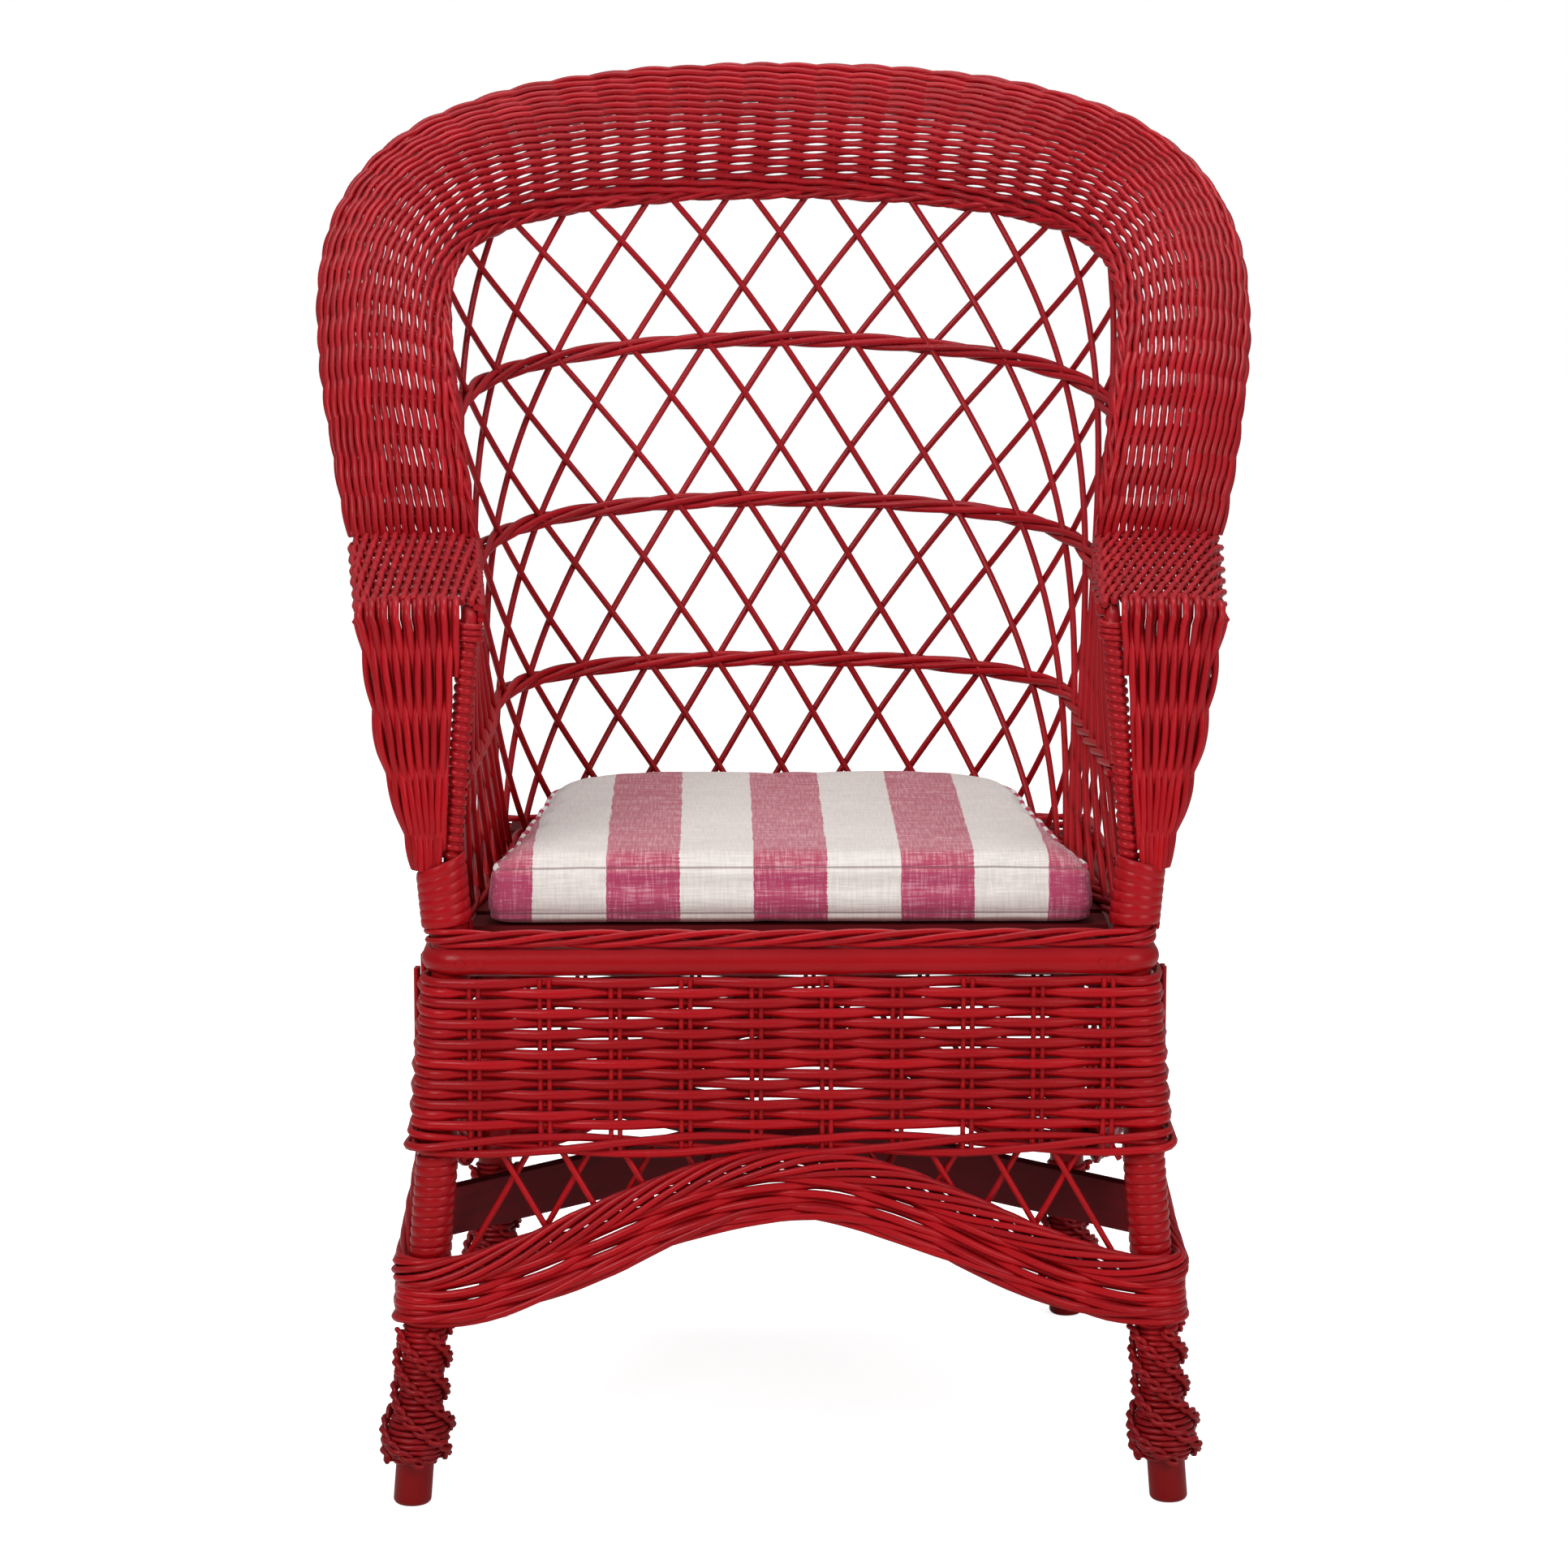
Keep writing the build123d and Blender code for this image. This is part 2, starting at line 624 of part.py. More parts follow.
for number, name in enumerate(("a", "b")):
    solid, own = boards[number]
    other = boards[1 - number][1]
    notch_plane = Plane(origin=crossing, x_dir=other, z_dir=(0, 0, 1 if number else -1))
    with BuildPart() as stretcher:
        add(solid)
        with BuildSketch(notch_plane.offset(-PLAY)):
            Rectangle(BOARD_H, BOARD_T + 2 * PLAY)
        extrude(amount=BOARD_H, mode=Mode.SUBTRACT)
        with BuildSketch(Plane(origin=(crossing.X, crossing.Y, BOARD_Z))):
            Circle(SCREW_D / 2 + PLAY)
        extrude(amount=BOARD_H, mode=Mode.SUBTRACT)
    finish(f"stretcher_board_{name}", stretcher)

with BuildPart() as stretcher_screw:
    with BuildSketch(Plane(origin=(crossing.X, crossing.Y, BOARD_Z + BOARD_H))):
        Circle(SCREW_D / 2)
    extrude(amount=-SCREW_LENGTH)
    with BuildSketch(Plane(origin=(crossing.X, crossing.Y, BOARD_Z + BOARD_H))):
        Circle(SCREW_HEAD_D / 2)
    extrude(amount=SCREW_HEAD_T)
    fillet(stretcher_screw.edges().sort_by(Axis.Z)[-1], SCREW_HEAD_T / 2)
finish("stretcher_screw", stretcher_screw)

# Frame of the back: inner and outer hoops standing on the arm poles, which bend down as stiles -


turns = [90 * step / HOOP_STEPS for step in range(-HOOP_STEPS, HOOP_STEPS + 1)]
for name, rim in (("inner_hoop", inner_rim), ("outer_hoop", outer_rim)):
    hoop = bent_rod([rim(turn) for turn in turns], HOOP_D)
    with hoop:
        split(bisect_by=Plane.XY.offset(ARM_REAR_Z + HOOP_R + HOOP_SEAT), keep=Keep.TOP)
    finish(name, hoop)

for name, side in SIDES:
    for kind, rim, outer in (("inner", arm_inner, False), ("outer", arm_outer, True)):
        rear, front = rim(side, 0), rim(side, 1)
        tail = rear + (rear - front).normalized() * HOOP_R
        path, bends = [tail, front, stile_foot(side, outer)], [ARM_CORNER_R]
        if outer:
            path.insert(2, stile_knee(side))
            bends.append(STILE_KNEE_BEND)
        arm_pole = pole(path, HOOP_D, bends)
        with arm_pole:
            split(bisect_by=Plane.XY.offset(LEG_TOP_FRONT + PLAY), keep=Keep.TOP)
        finish(f"{kind}_arm_pole_{name}", arm_pole)

# Woven roll of the back, the arm tops and the arm fronts ---------------------------------------


def strip(start, end, ahead, bulge):
    """Cross section of a woven band between two poles. Ahead is the way the weave runs, and the
    outer face stands one pole radius proud of the line between the poles."""
    across = end - start
    plane = Plane(origin=start, x_dir=across, z_dir=across.cross(ahead.cross(across)))
    first, last = HOOP_R + ROLL_FIT, across.length - HOOP_R - ROLL_FIT
    middle = across.length / 2
    with BuildSketch(plane) as section:
        with BuildLine():
            low = ThreePointArc((first, -1), (middle, bulge - 1), (last, -1))
            high = ThreePointArc((first, WEAVE_T - 1), (middle, bulge + WEAVE_T - 1), (last, WEAVE_T - 1))
            Line(low @ 0, high @ 0)
            Line(low @ 1, high @ 1)
        make_face()
    return section.sketch


def roll_section(turn):
    """Section of the rolled border at a turn round the hoop."""
    ahead = inner_rim(turn + 1) - inner_rim(turn - 1)
    bulge = ROLL_BULGE * cos(radians(turn)) ** 0.5
    return strip(inner_rim(turn), outer_rim(turn), ahead, bulge)


arm_surface = WEAVE_T - 1 + ARM_BULGE + FIT
roll_end = degrees(acos(arm_surface / (CREST_Z - ARM_REAR_Z)))
for name, stops in (
    ("roll_crest", (-27, -18, -9, 0, 9, 18, 27)),
    ("roll_shoulder_left", (-27, -34, -41, -48)),
    ("roll_shoulder_right", (27, 34, 41, 48)),
    ("roll_wing_left", (-48, -58, -68, -78, -roll_end)),
    ("roll_wing_right", (48, 58, 68, 78, roll_end)),
):
    with BuildPart() as roll:
        loft([roll_section(turn) for turn in stops])
    finish(name, roll)

for name, side in SIDES:
    with BuildPart() as arm_top:
        flow = (arm_inner(side, 1) - arm_inner(side, 0)) * side
        sections = []
        for share in (0, ARM_TOP_END):
            sections.append(strip(arm_inner(side, share), arm_outer(side, share), flow, ARM_BULGE))
        loft(sections)
    finish(f"arm_top_{name}", arm_top)

    clear = HOOP_R + FIT
    inner_top, outer_top = arm_inner(side, 1), arm_outer(side, 1)
    inner_foot, outer_foot, knee = stile_foot(side, False), stile_foot(side, True), stile_knee(side)
    tip_in = inner_foot + (inner_top - inner_foot) * ARM_FRONT_TIP
    tip_out = outer_foot + (knee - outer_foot) * ARM_FRONT_TIP
    outline = (
        (inner_top.X + side * clear, ARM_FRONT_Z + HOOP_R),
        (tip_in.X + side * clear, tip_in.Z),
        (tip_out.X - side * (clear + FIT), tip_out.Z),
        (knee.X - side * (clear + FIT), knee.Z),
        (outer_top.X - side * clear, ARM_FRONT_Z + HOOP_R),
    )
    with BuildPart() as arm_front:
        with BuildSketch(Plane.XZ.offset(-STILE_Y - WEAVE_T / 2)):
            with BuildLine():
                Polyline(*outline, close=True)
            make_face()
        extrude(amount=WEAVE_T)
    finish(f"arm_front_{name}", arm_front)

# Lattice of the back and sides: two layers of stakes that lean opposite ways ---------------------

FRAME_STEPS = 60
frame_points = {}
for name, side in SIDES:
    stile = [stile_foot(side, False), arm_inner(side, 1)]
    arm = [arm_inner(side, share) for share in (1, 0.75, 0.5, 0.25, 0)]
    hoop = [inner_rim(side * (90 - 90 * step / FRAME_STEPS)) for step in range(FRAME_STEPS + 1)]
    points = stile + arm[1:] + hoop[1:]
    runs = [(start, end, HOOP_R) for start, end in zip(points, points[1:])]
    knee = leg_at_rail(side, True)
    leg_top = Vector(knee.X + side * LEG_TOP_SPREAD, knee.Y, LEG_TOP_FRONT)
    runs.append((knee, leg_top, LEG_R + CORNER_BINDING_T))
    frame_points[side] = runs


def frame_gap(point):
    """Clear distance and direction from a point to the nearest hoop, arm pole, stile or leg."""
    best, toward = None, None
    for start, end, radius in frame_points[1 if point.X >= 0 else -1]:
        span = end - start
        share = max(0, min(1, (point - start).dot(span) / span.dot(span)))
        away = start + span * share - point
        if best is None or away.length - radius < best:
            best, toward = away.length - radius, away
    return best, toward.normalized()


def rim_height(node):
    """Height of the hoop or arm pole above a place along the wall."""
    if abs(node) < ROLL_START_NODE:
        share = (abs(node) / ROLL_START_NODE) ** ROLL_SHAPE
        return ARM_REAR_Z + (CREST_Z - ARM_REAR_Z) * (1 - share) ** 0.5
    along = (abs(node) - ROLL_START_NODE) / (CORNER_NODES + SIDE_NODES - ROLL_START_NODE)
    return ARM_REAR_Z + (ARM_FRONT_Z - ARM_REAR_Z) * along


def run_point(node, level, lift):
    """A point of a stake or band, by lattice node and band level."""
    return wall_point(node, band_height(node, level), lift)


def fits(node, level, lift, radius, ahead):
    """True where a reed of this radius stands clear of the frame of the back."""
    if abs(node) >= CORNER_NODES + SIDE_NODES:
        return False
    here = run_point(node, level, lift)
    if here.Z > rim_height(node):
        return False
    gap, toward = frame_gap(here)
    slant = (1 - min(1, abs(ahead.dot(toward))) ** 2) ** 0.5
    return gap > FIT + radius * slant


def last_fit(inside, outside, test):
    """Halve the way between a value that fits and one that does not."""
    for _ in range(HALVINGS):
        middle = (inside + outside) / 2
        inside, outside = (middle, outside) if test(middle) else (inside, middle)
    return inside


# Numbers of the search for the ends of stakes and bands, in lattice nodes and band levels
HALVINGS = 14
SCAN = 1 / 16
AHEAD = 0.05
SHORTEST = 0.3

STAKE_LIFT = STAKE_D / 2 + PLAY
DECK_LEVEL = -BAND_D / BAND_RISE
ROWS_PER_BAND = 4
EDGE_NODE = CORNER_NODES + SIDE_NODES


def stake_run(start, lean):
    """Points along one stake, from the deck or a stile up to the hoop, an arm or a stile."""
    lift = STAKE_LIFT * lean

    def node_at(level):
        return start + lean * STAKE_SHIFT * level

    def test(level):
        here = run_point(node_at(level), level, lift)
        ahead = (run_point(node_at(level + AHEAD), level + AHEAD, lift) - here).normalized()
        return fits(node_at(level), level, lift, STAKE_D / 2, ahead)

    bottom = 0
    while bottom < BAND_COUNT and not test(bottom):
        bottom += SCAN
    top = bottom
    while test(top):
        top += SCAN
    if top < bottom + 2 * SHORTEST:
        return None
    first = last_fit(bottom, bottom - SCAN, test) if bottom else DECK_LEVEL
    last = last_fit(top - SCAN, top, test)
    rows = round((last - first) * ROWS_PER_BAND)
    levels = [first + (last - first) * row / rows for row in range(rows + 1)]
    return [run_point(node_at(level), level, lift) for level in levels]


def stake_rod(points):
    """One stake, cut level where it stands on the deck."""
    stake = bent_rod(points, STAKE_D)
    with stake:
        split(bisect_by=Plane.XY.offset(DECK_TOP + FIT), keep=Keep.TOP)
    return stake


reach = EDGE_NODE + STAKE_SHIFT * BAND_COUNT
sides = {"left": [], "right": []}
starts = [number + 0.5 for number in range(-int(reach) - 1, int(reach) + 1)]
for lean, lean_name in ((-1, "left_leaning"), (1, "right_leaning")):
    family = {"back": [], "left": [], "right": []}
    for start in starts:
        points = stake_run(start, lean)
        if points is None:
            continue
        zone = "back" if abs(start) < CORNER_NODES - 1 else "left" if start < 0 else "right"
        family[zone].append(points)
    finish_group(f"back_stakes_{lean_name}", [stake_rod(points) for points in family["back"]])
    for zone in sides:
        sides[zone] += family[zone]
for zone, runs in sides.items():
    finish_group(f"side_stakes_{zone}", [stake_rod(points) for points in runs])

# Twined bands: an inner and an outer reed that hold the stakes between them ----------------------

BAND_LIFT = PLAY * 2 + STAKE_D + PLAY + BAND_D / 2
band_end = EDGE_NODE - (HOOP_R + FIT) / -STILE_Y * SIDE_NODES
BAND_STEP = 0.5
BAND_END_ROOM = 8.5  # more than the woven roll's thickness, since the bands stop beside it
for level, band_name in enumerate(("seat_ring", "band_lower", "band_middle", "band_upper")):
    reeds = []
    for lift in (-BAND_LIFT, BAND_LIFT):

        def test(node):
            """True where the band is clear of the hoop."""
            here = run_point(node, level, lift)
            ahead = (run_point(node + AHEAD, level, lift) - here).normalized()
            return fits(node, level, lift, BAND_D / 2 + (BAND_END_ROOM if level else 0), ahead)

        last = band_end
        if level == 0:
            last = last_fit(CORNER_NODES, EDGE_NODE, test)
        elif level == BAND_COUNT - 1:
            last = last_fit(ROLL_START_NODE / 2, ROLL_START_NODE, test)
        stops = [BAND_STEP * number for number in range(1, int((last - SHORTEST) / BAND_STEP) + 1)]
        stops.append(last)
        nodes = [-stop for stop in reversed(stops)] + [0] + stops
        reeds.append(bent_rod([run_point(node, level, lift) for node in nodes], BAND_D))
    finish_group(band_name, reeds)

# Cushion: sewn cover over a foam block ---------------------------------------------------------

CUSHION_Z = DECK_TOP + FIT


def cushion_outline(height, inset):
    """Plan of the cushion, narrower at the back, with rounded corners."""
    with BuildSketch(Plane.XY.offset(height)) as outline:
        with BuildLine():
            Polyline(
                (-CUSHION_FRONT_HALF, CUSHION_FRONT_Y),
                (CUSHION_FRONT_HALF, CUSHION_FRONT_Y),
                (CUSHION_REAR_HALF, CUSHION_REAR_Y),
                (-CUSHION_REAR_HALF, CUSHION_REAR_Y),
                close=True,
            )
        make_face()
        corners = outline.vertices().group_by(Axis.Y)
        fillet(corners[-1], CUSHION_REAR_R)
        fillet(outline.vertices().group_by(Axis.Y)[0], CUSHION_FRONT_R)
        if inset:
            offset(amount=-inset)
    return outline.sketch


with BuildPart() as cushion_cover:
    extrude(cushion_outline(CUSHION_Z, 0), amount=CUSHION_T)
    fillet(cushion_cover.faces().sort_by(Axis.Z)[-1].edges(), CUSHION_EDGE_R)
    fillet(cushion_cover.faces().sort_by(Axis.Z)[0].edges(), CUSHION_EDGE_R)
    extrude(
        cushion_outline(CUSHION_Z + COVER_T, COVER_T),
        amount=CUSHION_T - 2 * COVER_T,
        mode=Mode.SUBTRACT,
    )
finish("cushion_cover", cushion_cover)

with BuildPart() as cushion_core:
    gap = COVER_T + FIT
    extrude(cushion_outline(CUSHION_Z + gap, gap), amount=CUSHION_T - 2 * gap)
finish("cushion_core", cushion_core)

# Write every piece, with the origin at the bottom centre of the whole chair ---------------------

boxes = [piece.bounding_box() for piece in pieces]
low = [min(tuple(box.min)[axis] for box in boxes) for axis in range(3)]
high = [max(tuple(box.max)[axis] for box in boxes) for axis in range(3)]
home = Location((-(low[0] + high[0]) / 2, -(low[1] + high[1]) / 2, -low[2]))
os.makedirs("parts", exist_ok=True)
for piece in pieces:
    placed = piece.moved(home)
    placed.label = piece.label
    export_step(placed, f"parts/{placed.label}.step")
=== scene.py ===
from math import cos, pi, radians, sin

import bmesh
import bpy
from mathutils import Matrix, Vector
from mathutils.bvhtree import BVHTree


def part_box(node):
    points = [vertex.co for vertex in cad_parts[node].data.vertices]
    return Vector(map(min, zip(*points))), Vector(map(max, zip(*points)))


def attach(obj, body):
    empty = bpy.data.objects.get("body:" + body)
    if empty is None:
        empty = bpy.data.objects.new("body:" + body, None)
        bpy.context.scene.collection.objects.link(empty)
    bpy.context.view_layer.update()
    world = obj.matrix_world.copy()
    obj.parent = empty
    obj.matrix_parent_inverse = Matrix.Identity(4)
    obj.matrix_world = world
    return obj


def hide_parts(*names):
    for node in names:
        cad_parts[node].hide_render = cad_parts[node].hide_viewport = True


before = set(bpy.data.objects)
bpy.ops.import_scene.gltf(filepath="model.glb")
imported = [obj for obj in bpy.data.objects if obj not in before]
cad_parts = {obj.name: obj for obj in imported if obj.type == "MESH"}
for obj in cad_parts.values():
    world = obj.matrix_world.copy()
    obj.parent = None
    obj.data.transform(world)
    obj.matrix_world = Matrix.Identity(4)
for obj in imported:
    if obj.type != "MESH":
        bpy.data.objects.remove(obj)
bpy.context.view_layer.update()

# --- Poles --------------------------------------------------------------------------------------
# The frame is peeled cane poles, nailed together and painted glossy red with the weaving: legs
# that show as pegs below the wrapped feet, the bent seat rail, and the hoops and arm poles.


class Flow:
    """A socket of a node tree, so that sums of sockets read as sums."""

    def __init__(self, tree, socket=None):
        self.tree = tree
        self.socket = socket

    def node(self, kind, inputs=None, output=0, **settings):
        """Adds a node, sets it up and feeds it, and returns one of its outputs."""
        made = self.tree.nodes.new(kind)
        for key, value in settings.items():
            setattr(made, key, value)
        for key, value in (inputs or {}).items():
            self.feed(made.inputs[key], value)
        return Flow(self.tree, made.outputs[output])

    def feed(self, socket, value):
        if isinstance(value, Flow):
            self.tree.links.new(value.socket, socket)
        else:
            socket.default_value = value

    def out(self, name):
        """Another output of the same node."""
        return Flow(self.tree, self.socket.node.outputs[name])

    def math(self, operation, first, second=0.0):
        return self.node("ShaderNodeMath", {0: first, 1: second}, operation=operation)

    def vector(self, operation, first, second=(0, 0, 0), scale=1.0):
        made = self.node("ShaderNodeVectorMath", {0: first, 1: second}, operation=operation)
        if operation == "SCALE":
            self.feed(made.socket.node.inputs["Scale"], scale)
        return made

    def mix(self, share, low, high, kind="MIX"):
        """A colour between low and high."""
        inputs = {"Factor": share, 6: low, 7: high}
        return self.node("ShaderNodeMix", inputs, 2, data_type="RGBA", blend_type=kind)

    def noise(self, where, scale, detail=3.0, roughness=0.5):
        return self.node(
            "ShaderNodeTexNoise",
            {"Vector": where, "Scale": scale, "Detail": detail, "Roughness": roughness},
        )

    def ramp(self, low, high):
        """0 below low and 1 above high, smooth between."""
        return self.node(
            "ShaderNodeMapRange",
            {"Value": self, "From Min": low, "From Max": high},
            interpolation_type="SMOOTHSTEP",
        )

    def __add__(self, other):
        return self.math("ADD", self, other)

    def __sub__(self, other):
        return self.math("SUBTRACT", self, other)

    def __rsub__(self, other):
        return self.math("SUBTRACT", other, self)

    def __mul__(self, other):
        return self.math("MULTIPLY", self, other)

    def __truediv__(self, other):
        return self.math("DIVIDE", self, other)

    def __pow__(self, other):
        return self.math("POWER", self, other)

    __radd__ = __add__
    __rmul__ = __mul__


def finish(name):
    """A new material, the tree to build it in, and its shader."""
    made = bpy.data.materials.new(name)
    made.use_nodes = True
    return made, Flow(made.node_tree), made.node_tree.nodes["Principled BSDF"]


# A pale pink that paint facing up is mixed towards: partly dust, partly painted sheen.
DUST_AND_SHEEN = (0.52, 0.10, 0.12, 1)
SPECK = (0.16, 0.01, 0.015, 1)
PAINT_TURNS = (0.3, 0.8)  # heights between which the low, purer red turns deeper
# Heights between which the paint comes up from darker near the floor to its full colour.
DARKER_LOW_ENDS = (0.08, 0.17)


def red_paint(name, deep, bright, on_reed):
    """Glossy red paint, purer low down, paler pink where it faces up from dust and painted sheen,
    darker towards the feet.
    """
    made, tree, shader = finish(name)
    place = tree.node("ShaderNodeTexCoord", output="Object")
    facing = tree.node("ShaderNodeSeparateXYZ", {0: place.out("Normal")}, "Z")
    height = tree.node("ShaderNodeSeparateXYZ", {0: place}, "Z")
    patches = tree.noise(place, 9.0)
    if on_reed:
        tone = tree.node("ShaderNodeAttribute", output="Fac", attribute_name="tone")
    else:
        tone = tree.noise(place, 3.0, 1.0)
    colour = tree.mix(height.ramp(*PAINT_TURNS), bright, deep)
    # Darker towards the floor, below these heights.
    low_darkening = 1.0 - height.ramp(*DARKER_LOW_ENDS)
    shade = (0.66 + tone * 0.34 + patches * 0.28) * (1.0 - 0.42 * low_darkening)
    colour = tree.mix(
        1.0, colour, tree.node("ShaderNodeCombineColor", {0: shade, 1: shade, 2: shade}), "MULTIPLY"
    )
    # Faces turned up go paler pink: partly dust, partly painted sheen of the light from above.
    dust_and_sheen = (facing.math("MAXIMUM", facing, 0.0) ** 1.6) * (0.04 + 0.20 * patches)
    colour = tree.mix(dust_and_sheen, colour, DUST_AND_SHEEN)
    specks = tree.noise(place, 420.0, 2.0).ramp(0.66, 0.74)
    colour = tree.mix(specks * 0.25, colour, SPECK)
    tree.feed(shader.inputs["Base Color"], colour)
    tree.feed(shader.inputs["Roughness"], 0.26 + 0.16 * tree.noise(place, 60.0, 4.0))
    shader.inputs["Specular IOR Level"].default_value = 0.14
    shader.inputs["Coat Weight"].default_value = 0.05
    shader.inputs["Coat Roughness"].default_value = 0.18
    grain = tree.noise(place, 260.0, 4.0, 0.6) + 0.5 * patches
    bump = tree.node("ShaderNodeBump", {"Height": grain, "Strength": 0.22, "Distance": 0.0012})
    tree.feed(shader.inputs["Normal"], bump)
    return made


POLE_DEEP = (0.31, 0.006, 0.011, 1)
POLE_BRIGHT = (0.31, 0.001, 0.003, 1)
pole_paint = red_paint("pole_paint", POLE_DEEP, POLE_BRIGHT, False)
poles = [f"leg_{end}_{side}" for end in ("front", "rear") for side in ("left", "right")]
poles += [f"seat_rail_{side}" for side in ("front", "rear", "left", "right")]
poles += [f"{hoop}_arm_pole_{side}" for hoop in ("inner", "outer") for side in ("left", "right")]
poles += ["inner_hoop", "outer_hoop", "inner_cross_rails", "inner_side_rails", "rail_nails"]


def dress(nodes, paint):
    """Puts one material on frame pieces that show as they are."""
    for node in nodes:
        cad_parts[node].data.materials.clear()
        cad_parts[node].data.materials.append(paint)


dress(poles, pole_paint)

# --- Boards -------------------------------------------------------------------------------------
# Slats under the cushion and two thin boards crossed between the legs, sawn softwood with one
# thin dark coat, screwed together where they cross.

BOARD_DARK, BOARD_WORN = (0.05, 0.002, 0.003, 1), (0.15, 0.005, 0.008, 1)
STEEL_DARK, STEEL_BRIGHT = (0.32, 0.31, 0.30, 1), (0.52, 0.51, 0.50, 1)
board_paint, tree, shader = finish("board_paint")
place = tree.node("ShaderNodeTexCoord", output="Object")
stretched = tree.vector("MULTIPLY", place, (3.0, 3.0, 40.0))
streaks = tree.noise(stretched, 4.0, 6.0, 0.62)
tree.feed(shader.inputs["Base Color"], tree.mix(streaks, BOARD_DARK, BOARD_WORN))
tree.feed(shader.inputs["Roughness"], 0.5 + 0.2 * streaks)
shader.inputs["Specular IOR Level"].default_value = 0.15
bump = tree.node("ShaderNodeBump", {"Height": streaks, "Strength": 0.3, "Distance": 0.001})
tree.feed(shader.inputs["Normal"], bump)
dress(("seat_slats", "stretcher_board_a", "stretcher_board_b"), board_paint)

screw_steel, tree, shader = finish("screw_steel")
place = tree.node("ShaderNodeTexCoord", output="Object")
tarnish = tree.noise(place, 300.0, 4.0)
tree.feed(shader.inputs["Base Color"], tree.mix(tarnish, STEEL_DARK, STEEL_BRIGHT))
tree.feed(shader.inputs["Roughness"], 0.3 + 0.25 * tarnish)
shader.inputs["Metallic"].default_value = 1.0
dress(("stretcher_screw",), screw_steel)

# --- Feet ---------------------------------------------------------------------------------------
# Each foot is wound close with round reed over a bulb of packing, and four plaited ribs of two
# reeds are twisted round it from top to bottom. The leg's rounded end stands out below as a peg.

REED_DEEP = (0.33, 0.006, 0.011, 1)
REED_BRIGHT = (0.33, 0.001, 0.004, 1)
reed_paint = red_paint("reed_paint", REED_DEEP, REED_BRIGHT, True)


